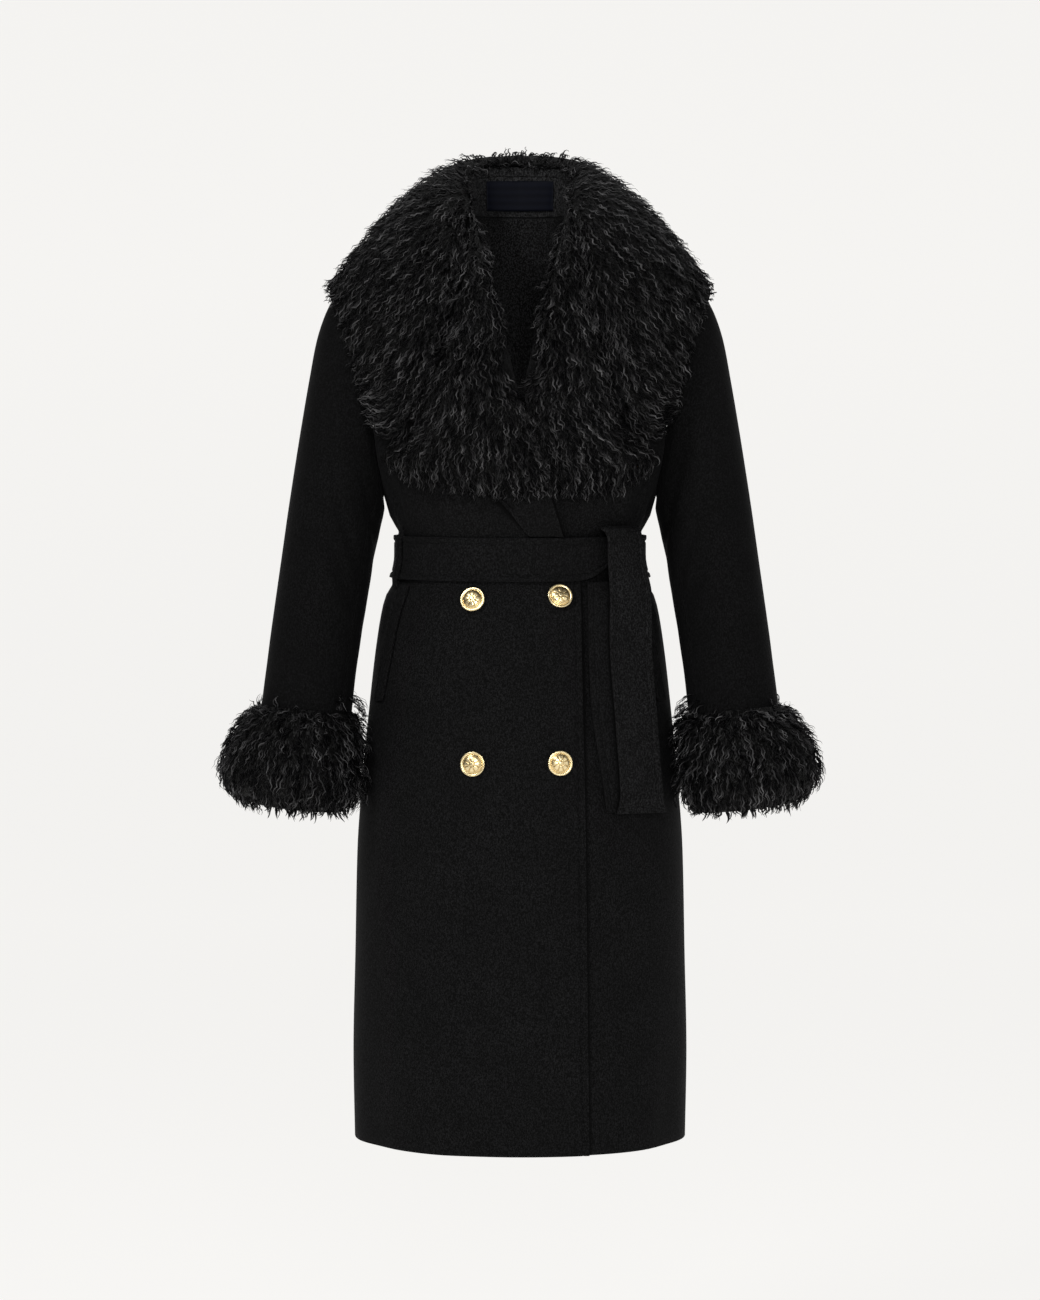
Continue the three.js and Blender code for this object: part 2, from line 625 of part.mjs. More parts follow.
// ---- belt ----
function belt() {
  const turns = spread(-180, 180, 48).slice(0, -1).map(radians);
  const near = (turn) => Math.exp(-(((turn - radians(KNOT.angle)) / KNOT.pinchReach) ** 2));
  const band = (lift) =>
    spread(0, 1, 2).map((up) =>
      turns.map((turn) => onTorso(turn, mix(BELT.bottom + KNOT.pinch * near(turn), BELT.top, up), lift)),
    );
  const inside = LAP + LAYER;
  add("belt_band", solidBetween(band(inside + BELT.thick), band(inside), true), wool());

  // The knot is a soft bundle in front of the band, under the front tail.
  const bundle = (height) =>
    spread(-1, 1, 6).map((up) =>
      spread(-1, 1, 6).map((across) => {
        const crown = Math.sqrt(Math.max(0, 1 - up ** 4)) * Math.sqrt(Math.max(0, 1 - across ** 4));
        const z = mix(BELT.top, BELT.bottom, 0.5) + up * KNOT.halfHeight;
        const angle = radians(KNOT.angle) + across * KNOT.halfReach;
        return onTorso(angle, z, inside + BELT.thick + LAYER + height * mix(0.35, 1, crown));
      }),
    );
  add("belt_knot", solidBetween(bundle(KNOT.deep), bundle(0)), wool());

  const strip = FRONT_TAIL.map((row) =>
    spread(0, 1, 4).map(
      (t) => new THREE.Vector3(mix(row.left, row.right, t), mix(row.leftY, row.rightY, t), row.z),
    ),
  );
  add("belt_tail_front", solidBetween(strip, moved(strip, gridNormals(strip), -BELT.thick)), wool());

  const edge = column(UNDER_TAIL, "z", "x");
  const levels = spread(UNDER_TAIL[0].z, UNDER_TAIL.at(-1).z, 10);
  const angles = (z) => spread(0, TAIL_WIDTH, 4).map((across) => frontAngle(edge(z), z) + across / half(z));
  add("belt_tail_under", torsoWall(levels, angles, () => LAP + BELT.thick + LAYER, BELT.thick), wool());
}

function beltLoops() {
  const levels = spread(BELT.bottom - LOOP.past, BELT.top + LOOP.past, 8);
  const middle = (BELT.top + BELT.bottom) / 2;
  const overBelt = LAP + BELT.thick + 2 * LAYER + WOOL;
  const arch = (z) => {
    const share = Math.abs(z - middle) / ((BELT.top - BELT.bottom) / 2 + LOOP.past);
    return mix(LAP + LAYER, overBelt, 1 - THREE.MathUtils.smoothstep(share, 0.82, 1));
  };
  const place = (extra) =>
    levels.map((z) =>
      spread(LOOP.from, LOOP.to, 2).map((turn) => onTorso(radians(turn), z, arch(z) + extra)),
    );
  addPair("belt_loop", solidBetween(place(0), place(-WOOL + SEAM)), wool);
}

// ---- pockets and buttons ----
function pocketWelts() {
  const rearEdge = column(POCKET, "z", "x");
  const levels = spread(POCKET[0].z, POCKET.at(-1).z, 8);
  const angles = (z) => spread(0, WELT_WIDTH, 3).map((across) => frontAngle(rearEdge(z), z) + across / half(z));
  addPair("pocket_welt", torsoWall(levels, angles, () => LAYER + WOOL, WOOL), wool);
}

function buttons() {
  const { radius, rim, rimThick, domeHeight, shank, standOff } = BUTTON;
  const dome = spread(0, 90, 4).map(radians);
  const profile = [
    [0, -standOff],
    [shank, -standOff],
    [shank, 0],
    [radius, 0],
    [radius, rimThick],
    [radius - rim, rimThick],
    ...dome.map((t) => [(radius - rim - 0.4) * Math.cos(t), rimThick - 0.4 + domeHeight * Math.sin(t)]),
  ].map(([x, y]) => new THREE.Vector2(Math.max(0, x), y));
  const shape = new THREE.LatheGeometry(profile, 16);
  BUTTONS.forEach(({ name, x, z }) => {
    const angle = frontAngle(x, z);
    const normal = torsoNormal(angle, z);
    const turn = new THREE.Quaternion().setFromUnitVectors(new THREE.Vector3(0, 1, 0), normal);
    const place = onTorso(angle, z, LAP + SEAM + standOff);
    const matrix = new THREE.Matrix4().compose(place, turn, new THREE.Vector3(1, 1, 1));
    add(name, shape.clone().applyMatrix4(matrix), brass());
  });
}

fronts();
backs();
sleeves();
collar();
lapels();
cuffs();
belt();
beltLoops();
pocketWelts();
buttons();

export default coat;
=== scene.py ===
import math

import bpy
import numpy as np
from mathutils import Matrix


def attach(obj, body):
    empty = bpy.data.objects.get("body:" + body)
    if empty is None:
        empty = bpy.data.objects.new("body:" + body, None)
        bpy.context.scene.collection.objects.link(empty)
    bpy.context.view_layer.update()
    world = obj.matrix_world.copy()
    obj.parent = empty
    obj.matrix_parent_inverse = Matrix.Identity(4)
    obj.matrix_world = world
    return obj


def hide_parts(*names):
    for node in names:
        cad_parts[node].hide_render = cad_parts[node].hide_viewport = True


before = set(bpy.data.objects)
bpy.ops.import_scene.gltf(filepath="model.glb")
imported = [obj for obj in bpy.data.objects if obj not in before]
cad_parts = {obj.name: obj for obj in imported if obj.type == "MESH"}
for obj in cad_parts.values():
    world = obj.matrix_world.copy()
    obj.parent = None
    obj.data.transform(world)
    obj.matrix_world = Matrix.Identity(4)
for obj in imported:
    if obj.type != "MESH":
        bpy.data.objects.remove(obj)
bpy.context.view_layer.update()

# ---- Camera ----
# A long lens a little above the coat's waist looks very slightly down at it, so the back of the neck
# shows inside the collar and the hem curves away.
CAMERA_PLACE = (-0.0015, -4.600, -0.240)
CAMERA_TARGET = (0.0, 0.0, -0.5025)
SENSOR_WIDTH = 36.0
LENS = 138.7


def aimed(place, target):
    """The turn that points a camera or a lamp from a place to a target: its rise first, then its heading."""
    ahead = np.subtract(target, place)
    return math.pi / 2 + math.asin(ahead[2] / np.linalg.norm(ahead)), 0, -math.atan2(ahead[0], ahead[1])


camera_data = bpy.data.cameras.new("camera")
camera_data.sensor_fit = "HORIZONTAL"
camera_data.sensor_width = SENSOR_WIDTH
camera_data.lens = LENS
camera_data.clip_end = 50
camera = bpy.data.objects.new("camera", camera_data)
camera.location = CAMERA_PLACE
camera.rotation_euler = aimed(CAMERA_PLACE, CAMERA_TARGET)
bpy.context.scene.collection.objects.link(camera)
bpy.context.scene.camera = camera
bpy.context.scene.view_settings.view_transform = "Standard"


# ---- Wool coating ----
# Black double-faced wool, woven, fulled and brushed so that a short matt nap hides the threads. The eye
# sees a deep black with fine pale flecks, and a soft bloom where the cloth turns away.
def linear(code):
    """An sRGB hex colour as linear red, green, blue and full alpha."""
    channels = np.array([int(code[i : i + 2], 16) for i in (1, 3, 5)]) / 255
    low, high = channels / 12.92, ((channels + 0.055) / 1.055) ** 2.4
    return (*np.where(channels <= 0.04045, low, high), 1.0)


def add(tree, kind, sockets=None, **settings):
    """Adds a shader node. A socket's value is a constant, or a (node, output) pair that is linked to it."""
    node = tree.nodes.new("ShaderNode" + kind)
    for name, value in settings.items():
        setattr(node, name, value)
    for name, value in (sockets or {}).items():
        if isinstance(value, tuple) and isinstance(value[0], bpy.types.Node):
            tree.links.new(value[0].outputs[value[1]], node.inputs[name])
        else:
            node.inputs[name].default_value = value
    return node


def new_material(name):
    """An empty node material and its tree."""
    material = bpy.data.materials.new(name)
    material.use_nodes = True
    material.node_tree.nodes.clear()
    return material, material.node_tree


def surfaced(tree, factor, dark, light, relief, gloss):
    """Ends a material: two colours mixed by a factor, a bump as (height, strength, metres), and its gloss."""
    colour = add(tree, "Mix", {"Factor": factor, "A": linear(dark), "B": linear(light)}, data_type="RGBA")
    sockets = {**gloss, "Base Color": (colour, "Result")}
    if relief:
        bump = add(tree, "Bump", dict(zip(("Height", "Strength", "Distance"), relief)))
        sockets["Normal"] = (bump, "Normal")
    face = add(tree, "BsdfPrincipled", sockets)
    add(tree, "OutputMaterial", {"Surface": (face, "BSDF")})


def wool_coating(name, dark, light, nap, edge_shadow=False):
    """Noise flecks 1.5 mm apart and short streaks down the nap, over slow mottling from the fulling.

    The real threads are finer; these flecks are as coarse as they need to be to show.
    A piece with an edge shadow is painted dark for 5 mm beside the edge that laps over it, as a painted
    shadow of that edge: its attribute "beside" is the distance from that edge in millimetres.
    """
    material, tree = new_material(name)
    place = add(tree, "TexCoord")
    fleck = add(tree, "TexNoise", {"Vector": (place, "Object"), "Scale": 1 / 0.0015, "Detail": 3.0})
    combed = add(tree, "Mapping", {"Vector": (place, "Object"), "Scale": (1, 1, 0.45)})
    streak = add(tree, "TexNoise", {"Vector": (combed, "Vector"), "Scale": 1 / 0.0013, "Detail": 2.0})
    mottle = add(tree, "TexNoise", {"Vector": (place, "Object"), "Scale": 1 / 0.045, "Detail": 2.0})
    pair = add(tree, "Math", {0: (fleck, "Fac"), 1: (streak, "Fac")}, operation="MULTIPLY")
    tone = add(tree, "MapRange", {"Value": (pair, "Value"), "From Min": 0.19, "From Max": 0.36})
    spot = add(tree, "MapRange", {"Value": (mottle, "Fac"), "To Min": 0.45, "To Max": 1.15})
    shade = add(tree, "Math", {0: (tone, "Result"), 1: (spot, "Result")}, operation="MULTIPLY")
    if edge_shadow:
        # Painted shadow: the wool is darkened within 5 mm of the edge that laps over it.
        beside = add(tree, "Attribute", attribute_name="beside")
        away = add(tree, "Math", {0: (beside, "Fac")}, operation="ABSOLUTE")
        reach = {"Value": (away, "Value"), "From Min": 1.0, "From Max": 5.0, "To Min": 0.0}
        lit = add(tree, "MapRange", reach, interpolation_type="SMOOTHSTEP")
        shade = add(tree, "Math", {0: (shade, "Value"), 1: (lit, "Result")}, operation="MULTIPLY")
    bloom = {"Sheen Weight": nap, "Sheen Roughness": 0.45, "Sheen Tint": linear("#8c8c92")}
    gloss = {"Roughness": 0.9, "Specular IOR Level": 0.12, **bloom}
    surfaced(tree, (shade, "Value"), dark, light, ((pair, "Value"), 0.6, 0.0006), gloss)
    return material


black_wool = wool_coating("black_double_faced_wool", "#020202", "#1b1b1c", 0.02)


# ---- The coat's form ----
# The cut of the coat filled out as it is worn: horizontal rings that are a little squarer than
# ellipses, pulled in by the belt, with soft folds that only ever press inwards.
WOOL = 2.4
SEAM = 0.4
LAYER = 1.2
LAP = WOOL + LAYER
HEM = -1063
NECK = -4
SQUARENESS = 0.92
ARMHOLE = {"top": -76, "bottom": -325, "front": 60, "back": 66}
BELT_TOP = -370
BELT_BOTTOM = -421


def table(names, *rows):
    """Rows of numbers as named columns."""
    return dict(zip(names.split(), np.array(rows, float).T))


COAT_RINGS = table(
    "z half front back",
    (HEM, 191, 150, 142),
    (-966, 192.5, 150, 142),
    (-850, 190, 148, 141),
    (-733, 187.4, 146, 140),
    (-640, 180.5, 141, 137),
    (-560, 172.6, 134, 131),
    (-491, 164.4, 126, 125),
    (-445, 156, 119, 118),
    (-430, 149, 113, 112),
    (BELT_BOTTOM, 142, 109, 107),
    (-393, 136.5, 106, 102),
    (BELT_TOP, 136.5, 107, 102),
    (-353, 147.5, 114, 108),
    (-325, 156, 120, 114),
    (-270, 177, 124, 119),
    (-200, 192, 121, 122),
    (-150, 198, 114, 120),
    (-105, 198, 103, 113),
    (ARMHOLE["top"], 192, 90, 103),
    (-52, 150, 76, 96),
    (-28, 108, 62, 88),
    (NECK, 64, 48, 78),
)

# Angle round from centre front, the stretch of height, width and depth.
FOLDS = table(
    "angle low high width depth",
    (-64, -372, -286, 11, 5),
    (-40, -371, -300, 12, 3),
    (60, -372, -282, 11, 5),
    (44, -371, -290, 12, 4),
    (128, -372, -250, 16, 5),
    (152, -371, -270, 15, 4),
    (118, -560, -420, 16, 4),
    (148, -590, -420, 18, 4),
    (-58, -1440, -690, 42, 5),
    (62, -1440, -690, 42, 5),
    (112, -1440, -640, 36, 7),
    (146, -1440, -600, 40, 7),
    (-112, -1440, -660, 36, 6),
    (-142, -1440, -620, 38, 6),
    (-124, -371, -240, 16, 5),
    (-156, -371, -280, 14, 3),
    (-120, -540, -420, 15, 4),
    (-150, -570, -420, 17, 3),
    (-76, -371, -310, 9, 4),
    (76, -371, -305, 9, 4),
    (-26, -500, -424, 14, 2),
    (-50, -520, -423, 12, 2.5),
    (-72, -505, -423, 10, 3),
    (70, -510, -423, 10, 3),
    (24, -700, -424, 20, 2),
    (-14, -1300, -560, 30, 2),
)


def column(rows, by, name):
    """A table's column as a smooth function.

    It is made of cubics whose slopes at the rows are harmonic means, so it never overshoots.
    """
    order = np.argsort(rows[by])
    at, value = rows[by][order], rows[name][order]
    slope = np.diff(value) / np.diff(at)
    same_way = slope[:-1] * slope[1:] > 0
    before, after = np.where(same_way, slope[:-1], 1), np.where(same_way, slope[1:], 1)
    inner = np.where(same_way, 2 / (1 / before + 1 / after), 0)
    tangent = np.concatenate([slope[:1], inner, slope[-1:]])

    def read(x):
        i = np.clip(np.searchsorted(at, x, side="right") - 1, 0, len(at) - 2)
        width = at[i + 1] - at[i]
        t = np.clip((x - at[i]) / width, 0, 1)
        s = 1 - t
        ends = value[i] * (1 + 2 * t) * s * s + value[i + 1] * (3 - 2 * t) * t * t
        return ends + width * (tangent[i] * t * s * s - tangent[i + 1] * t * t * s)

    return read


def smoothstep(x, low, high):
    """0 below low, 1 above high, and an S-curve between."""
    t = np.clip((x - low) / (high - low), 0, 1)
    return t * t * (3 - 2 * t)


def bent(value):
    """Signed power that squares off a ring."""
    return np.sign(value) * np.abs(value) ** SQUARENESS


half = column(COAT_RINGS, "z", "half")
front_depth = column(COAT_RINGS, "z", "front")
back_depth = column(COAT_RINGS, "z", "back")


def fold_depth(angle, z):
    """Sum of the folds: each is a bell curve across and a squared sine along its height."""
    total = np.zeros(np.broadcast(angle, z).shape)
    for turn, low, high, width, depth in zip(*FOLDS.values()):
        along = np.clip((z - low) / (high - low), 0, 1)
        apart = np.angle(np.exp(1j * (angle - math.radians(turn))))
        across = apart * half(z) / width
        total += depth * np.exp(-across * across) * np.sin(np.pi * along) ** 2
    return total


def torso(angle, z, folded=False):
    """The coat's outer face: x is half width by the bent sine, y is minus the depth by the bent cosine."""
    angle, z = np.broadcast_arrays(np.asarray(angle, float), np.asarray(z, float))
    depth = np.where(np.cos(angle) > 0, front_depth(z), back_depth(z))
    inwards = fold_depth(angle, z) if folded else 0
    x = (half(z) - inwards) * bent(np.sin(angle))
    y = -(depth - inwards) * bent(np.cos(angle))
    return np.stack([x, y, z], axis=-1)


def unit(vectors):
    """The vectors at length one."""
    return vectors / np.maximum(np.linalg.norm(vectors, axis=-1, keepdims=True), 1e-9)


def surface_normal(surface, angle, along, step, limit=np.inf):
    """Cross product of the differences between points close by, round and along the surface."""
    far = np.minimum(along + step, limit)
    round_ = surface(angle + 0.01, along) - surface(angle - 0.01, along)
    return unit(np.cross(round_, surface(angle, far) - surface(angle, far - 2 * step)))


def on_torso(angle, z, lift, folded=False):
    """A point of the coat's face moved straight out of the cloth by lift."""
    normal = surface_normal(torso, angle, z, 1, NECK)
    return torso(angle, z, folded) + normal * np.broadcast_to(lift, normal.shape[:-1])[..., None]


def front_angle(x, z):
    """The angle at which the front of a ring reaches x."""
    share = np.clip(x / half(z), -1, 1)
    return np.arcsin(np.sign(share) * np.abs(share) ** (1 / SQUARENESS))


def angle_at_depth(y, z):
    """The angle at which a ring is y before or behind the side seams."""
    depth = np.where(y < 0, front_depth(z), back_depth(z))
    share = np.minimum(1, np.abs(y) / depth) ** (1 / SQUARENESS)
    return np.where(y < 0, np.arccos(share), np.pi - np.arccos(share))


ARMHOLE_MIDDLE = (ARMHOLE["top"] + ARMHOLE["bottom"]) / 2
ARMHOLE_RADIUS = (ARMHOLE["top"] - ARMHOLE["bottom"]) / 2


def side_angle(z, reach):
    """Where a panel ends: at the side seam, or on the armhole's ellipse."""
    share = np.clip((z - ARMHOLE_MIDDLE) / ARMHOLE_RADIUS, -1, 1)
    return angle_at_depth(reach * np.sqrt(1 - share * share), z)


# The stretches across the front and down from the neck over which the upper front rises to its full lap.
LAP_ACROSS = (-135, -80)
LAP_DOWN = (110, 200)


def upper_lift(x, z):
    """How far the upper front stands off the lower one: a full lap that fades out beside and above it."""
    return LAP * smoothstep(x, *LAP_ACROSS) * smoothstep(-z, *LAP_DOWN)


def sheet_faces(rows, columns, round_=False):
    """Quads of a grid of points, rows by columns."""
    i, j = np.meshgrid(np.arange(rows - 1), np.arange(columns - (not round_)), indexing="ij")
    a, b = i * columns + j, i * columns + (j + 1) % columns
    return np.stack([a, b, b + columns, a + columns], axis=-1).reshape(-1, 4)


def put_mesh(name, points, faces, material, pattern=None):
    """A smooth-shaded object from points in millimetres and a list of faces, with an optional UV map."""
    mesh = bpy.data.meshes.new(name)
    mesh.from_pydata((points / 1000).tolist(), [], faces)
    mesh.polygons.foreach_set("use_smooth", np.ones(len(mesh.polygons), bool))
    if pattern is not None:
        corners = np.zeros(len(mesh.loops), int)
        mesh.loops.foreach_get("vertex_index", corners)
        mesh.uv_layers.new(name="lie").data.foreach_set("uv", (pattern[corners] / 1000).ravel())
    mesh.materials.append(material)
    thing = bpy.data.objects.new(name, mesh)
    bpy.context.scene.collection.objects.link(thing)
    return thing


def shell(name, outer, inner, material, round_=False, pattern=None, inside=None):
    """A closed wall: the outer grid, the inner grid turned over, and strips that join their rims.

    The inner grid may be of a second material.
    """
    rows, columns = outer.shape[:2]
    count = rows * columns
    sheet = sheet_faces(rows, columns, round_)
    edges = np.concatenate([sheet[:, [k, (k + 1) % 4]] for k in range(4)])
    forward = edges[:, 0] * count + edges[:, 1]
    backward = edges[:, 1] * count + edges[:, 0]
    rim = edges[~np.isin(backward, forward)]
    strips = np.stack([rim[:, 1], rim[:, 0], rim[:, 0] + count, rim[:, 1] + count], axis=-1)
    faces = np.concatenate([sheet, sheet[:, ::-1] + count, strips])
    points = np.concatenate([outer.reshape(-1, 3), inner.reshape(-1, 3)])
    a, b, c, d = (points[faces[:, k]] for k in range(4))
    volume = np.einsum("ij,ij->", a, np.cross(b, c)) + np.einsum("ij,ij->", a, np.cross(c, d))
    faces = faces if volume > 0 else faces[:, ::-1]
    both = None if pattern is None else np.concatenate([pattern.reshape(-1, 2)] * 2)
    thing = put_mesh(name, points, faces.tolist(), material, both)
    if inside is not None:
        thing.data.materials.append(inside)
        of_inside = (np.arange(len(faces)) >= len(sheet)) & (np.arange(len(faces)) < 2 * len(sheet))
        thing.data.polygons.foreach_set("material_index", of_inside.astype(np.int32))
    return thing


def mark(thing, name, values):
    """Keeps one number for each point, as an attribute that the material reads."""
    kept = np.asarray(values, np.float32).ravel()
    thing.data.attributes.new(name, "FLOAT", "POINT").data.foreach_set("value", kept)


def placed(thing, node=None):
    """The body that a piece rides on, and the solid that it stands for, which is hidden."""
    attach(thing, "root")
    if node:
        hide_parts(node)


def grid_normals(grid, round_=False):
    """Unit normals of a grid, from the points on either side, to where columns cross rows points."""
    if round_:
        across = np.roll(grid, -1, axis=1) - np.roll(grid, 1, axis=1)
    else:
        across = np.gradient(grid, axis=1)
    return unit(np.cross(across, np.gradient(grid, axis=0)))


SIDES = (("left", 1), ("right", -1))


def on_side(grid, sign):
    """A grid of the wearer's left side (1), or the same one on the right (-1)."""
    return grid * np.array([sign, 1, 1])


def cloth(node, outer, inner, material, held="hung", rests_on="collar_stand", rounding=0.8, **wall):
    """A piece of cloth: a closed wall between two faces, with soft edges, that stands for its node."""
    thing = shell(node + "_cloth", outer, inner, material, **wall)
    edges = thing.modifiers.new("felled_edges", "BEVEL")
    edges.width = rounding / 1000
    edges.segments = 2
    edges.limit_method = "ANGLE"
    edges.angle_limit = math.radians(50)
    placed(thing, node)
    return thing


# ---- Fronts ----
# The wearer's right front laps over the left one and carries the buttons. Both are single pieces of
# double-faced cloth, felled by hand at the free edge, which leaves a flat ridge 7 mm wide.
RIDGE = 7
FRONT_EDGE = table(
    "z x",
    (HEM, 77),
    (BELT_BOTTOM, 66.7),
    (-367, 47.5),
    (-214, 0),
    (-100, -27.5),
    (NECK, -52),
)
front_edge = column(FRONT_EDGE, "z", "x")
EDGE_STEPS = np.array([0, 1.5, 3.5, 5, 6.2, 7, 7.8, 9, 11, 14])

PANEL_LEVELS = np.concatenate(
    [
        np.linspace(HEM, ARMHOLE["bottom"], 66)[:-1],
        ARMHOLE_MIDDLE + ARMHOLE_RADIUS * np.cos(np.radians(np.linspace(180, 0, 28))),
        np.linspace(ARMHOLE["top"], NECK, 9)[1:],
    ]
)


def felled_edge(distance, groove=1.3):
    """Height of a felled edge: a ridge up to the stitches at 7 mm, and a bell-shaped groove along them."""
    ridge = 0.7 * (1 - smoothstep(distance, RIDGE - 2, RIDGE))
    return ridge - groove * np.exp(-(((distance - RIDGE) / 1.2) ** 2))


def seam_dip(distance):
    """Depth of the valley beside a seam."""
    return 1.5 * np.exp(-((distance / 2.6) ** 2))


NARROWEST = 60  # a panel's edge is worked as on this width where the panel is narrower, near the neck


def panel_grid(edge, side, columns, steps=EDGE_STEPS):
    """Angles from a free edge to a side, fine near the edge, with the distance in millimetres from each."""
    width = np.abs(side - edge) * half(PANEL_LEVELS)
    near = steps[None, :] / np.maximum(width, NARROWEST)[:, None]
    start = near[:, -1:]
    rest = start + (1 - start) * np.linspace(0, 1, columns)[None, 1:] ** 0.95
    share = np.concatenate([near, rest], axis=1)
    angles = edge[:, None] + share * (side - edge)[:, None]
    return angles, share * width[:, None], (1 - share) * width[:, None]


def front_piece(name, sign, lift, beside):
    """One front: the coat's surface, lifted where it laps, with its free edge and side seam worked in.

    Beside says how far each point is from the edge that lies over this front, where a shadow is painted.
    """
    z = PANEL_LEVELS
    angles, from_edge, from_side = panel_grid(
        front_angle(sign * front_edge(z), z),
        -sign * side_angle(z, -ARMHOLE["front"]),
        36,
    )
    height = np.broadcast_to(z[:, None], angles.shape)
    base = lift(torso(angles, height)[..., 0], height)
    worked = felled_edge(from_edge) - seam_dip(from_side)
    outer = on_torso(angles, height, base + worked, True)
    inner = on_torso(angles, height, base - WOOL, True)
    thing = cloth(name, outer, inner, painted_shadow_wool)
    mark(thing, "beside", [beside(grid[..., 0], grid[..., 2]) for grid in (outer, inner)])


def no_lift(x, z):
    """The lower front lies on the coat's surface itself."""
    return np.zeros_like(x)


LAPEL_DIAGONAL = 355  # the lapel's lower edge runs where x + z is minus this
FAR = 99


# Distances that place the painted shadow beside the edges lying over each front.
def beside_lapel(x, z):
    """Distance from the lower edge of the lapel, a straight diagonal, and far away below the belt's top."""
    return np.where(z > BELT_TOP - 12, -(x + z + LAPEL_DIAGONAL) / math.sqrt(2), FAR)


def beside_front_edge(x, z):
    """Distance across from the free edge of the upper front."""
    return x - front_edge(z)


# A copy of the wool with a painted shadow beside the edge that laps over it, for both fronts and the under
# tail.
painted_shadow_wool = wool_coating("black_double_faced_wool_painted_edge_shadow", "#020202", "#1b1b1c", 0.02, True)
front_piece("front_right", 1, upper_lift, beside_lapel)
front_piece("front_left", -1, no_lift, beside_front_edge)

# ---- Backs ----
# Two halves joined by a centre-back seam, and to the fronts at the sides and shoulders. The inner face
# of the double cloth is painted a little paler, as painted light inside the neck.
inside_wool_painted_light = wool_coating("black_double_faced_wool_inside_painted_light", "#060606", "#353536", 0.03)
BACK_STEPS = np.array([0, 1.5, 3, 5, 8])
for side_name, sign in SIDES:
    z = PANEL_LEVELS
    seam, side = np.full(len(z), np.pi), side_angle(z, ARMHOLE["back"])
    angles, from_seam, from_side = panel_grid(seam, side, 27, steps=BACK_STEPS)
    height = np.broadcast_to(z[:, None], angles.shape)
    worked = -seam_dip(from_seam) - seam_dip(from_side)
    outer = on_torso(sign * angles, height, worked, True)
    inner = on_torso(sign * angles, height, -WOOL, True)
    cloth(f"back_{side_name}", outer, inner, black_wool, inside=inside_wool_painted_light)

# ---- Sleeves ----
# Each is a tube of an upper and an under piece, set into the armhole, with a seam that runs down the
# front of the forearm and another behind it. The elbow and the underarm hold a few soft creases.
SLEEVE_RINGS = table(
    "out_x out_z in_x in_z depth mid_y",
    (200, -83, 156.3, -333, 62, 2),
    (209, -94, 155.5, -340, 63, 0),
    (220, -112, 157, -349, 64, -1),
    (232, -146, 160, -362, 64.5, -3),
    (241, -193, 163.5, -380, 65, -6),
    (249, -240, 168, -405, 65, -10),
    (257, -290, 173, -433, 64, -14),
    (265, -343, 178.5, -468, 63, -19),
    (272.5, -397, 183.5, -500, 61, -25),
    (279.5, -447, 187.5, -528, 59.5, -31),
    (286, -495, 190.5, -557, 58, -38),
    (292, -543, 193.5, -590, 56.5, -44),
    (297.5, -590, 197, -625, 55, -48),
    (301.5, -630, 200.5, -655, 54, -51),
    (304.5, -660, 203, -678, 53.5, -53),
)
SLEEVE_RINGS["ring"] = np.arange(1.0, len(SLEEVE_RINGS["depth"]) + 1)
SLEEVE_END = len(SLEEVE_RINGS["ring"])
sleeve_columns = {name: column(SLEEVE_RINGS, "ring", name) for name in SLEEVE_RINGS if name != "ring"}
SLEEVE_SEAMS = {"back": -108, "front": 144}

# Turn round the sleeve from its outer side, the ring of the middle, half width in degrees, half length
# in rings, slant in rings per degree, and depth.
SLEEVE_FOLDS = table(
    "turn ring wide long slant depth",
    (118, 7.6, 34, 0.34, 0.012, 3.4),
    (124, 8.9, 30, 0.3, -0.010, 3.0),
    (112, 6.3, 30, 0.36, 0.016, 2.6),
    (150, 4.6, 26, 0.4, 0.02, 3.0),
    (70, 5.3, 26, 0.5, 0.024, 1.6),
    (-120, 8.2, 40, 0.4, 0.0, 2.2),
    (-80, 4.2, 34, 0.5, -0.02, 2.2),
    (60, 10.6, 40, 0.4, -0.014, 1.6),
    (-150, 6.2, 34, 0.4, 0.012, 2.4),
    (100, 11.8, 40, 0.34, 0.012, 1.8),
)


def sleeve(turn, ring):
    """The left sleeve: slanted ellipses between outermost and innermost points, straight on past its hem."""
    turn, ring = np.broadcast_arrays(np.asarray(turn, float), np.asarray(ring, float))
    out_x, out_z, in_x, in_z, depth, mid_y = (read(ring) for read in sleeve_columns.values())
    outwards = (1 + np.cos(turn)) / 2
    overrun = np.maximum(0, ring - SLEEVE_END) * 30
    x = in_x + (out_x - in_x) * outwards + overrun * 0.1
    z = in_z + (out_z - in_z) * outwards - overrun
    return np.stack([x, mid_y - depth * np.sin(turn), z], axis=-1)


def sleeve_crease(turn, ring):
    """Sum of slanted bell-shaped creases."""
    total = np.zeros(np.broadcast(turn, ring).shape)
    for middle, at, wide, long_, slant, depth in zip(*SLEEVE_FOLDS.values()):
        apart = np.degrees(np.angle(np.exp(1j * (turn - math.radians(middle)))))
        along = (ring - at - slant * apart) / long_
        total += depth * np.exp(-((apart / wide) ** 2) - along * along)
    return total


def on_sleeve(turn, ring, lift):
    """A point of the sleeve moved straight out of it."""
    return sleeve(turn, ring) + surface_normal(sleeve, turn, ring, 0.1) * np.asarray(lift)[..., None]


def armhole(turn, lift):
    """The seam to the body: an ellipse on the coat's own face, a little inside the panels' edge."""
    shrink = SEAM * 3
    z = ARMHOLE_MIDDLE + (ARMHOLE_RADIUS - shrink) * np.cos(turn)
    forwards = np.sin(turn)
    y = -forwards * (np.where(forwards > 0, ARMHOLE["front"], ARMHOLE["back"]) - shrink)
    return on_torso(angle_at_depth(y, z), z, lift + LAYER * np.maximum(0, -np.cos(turn)))


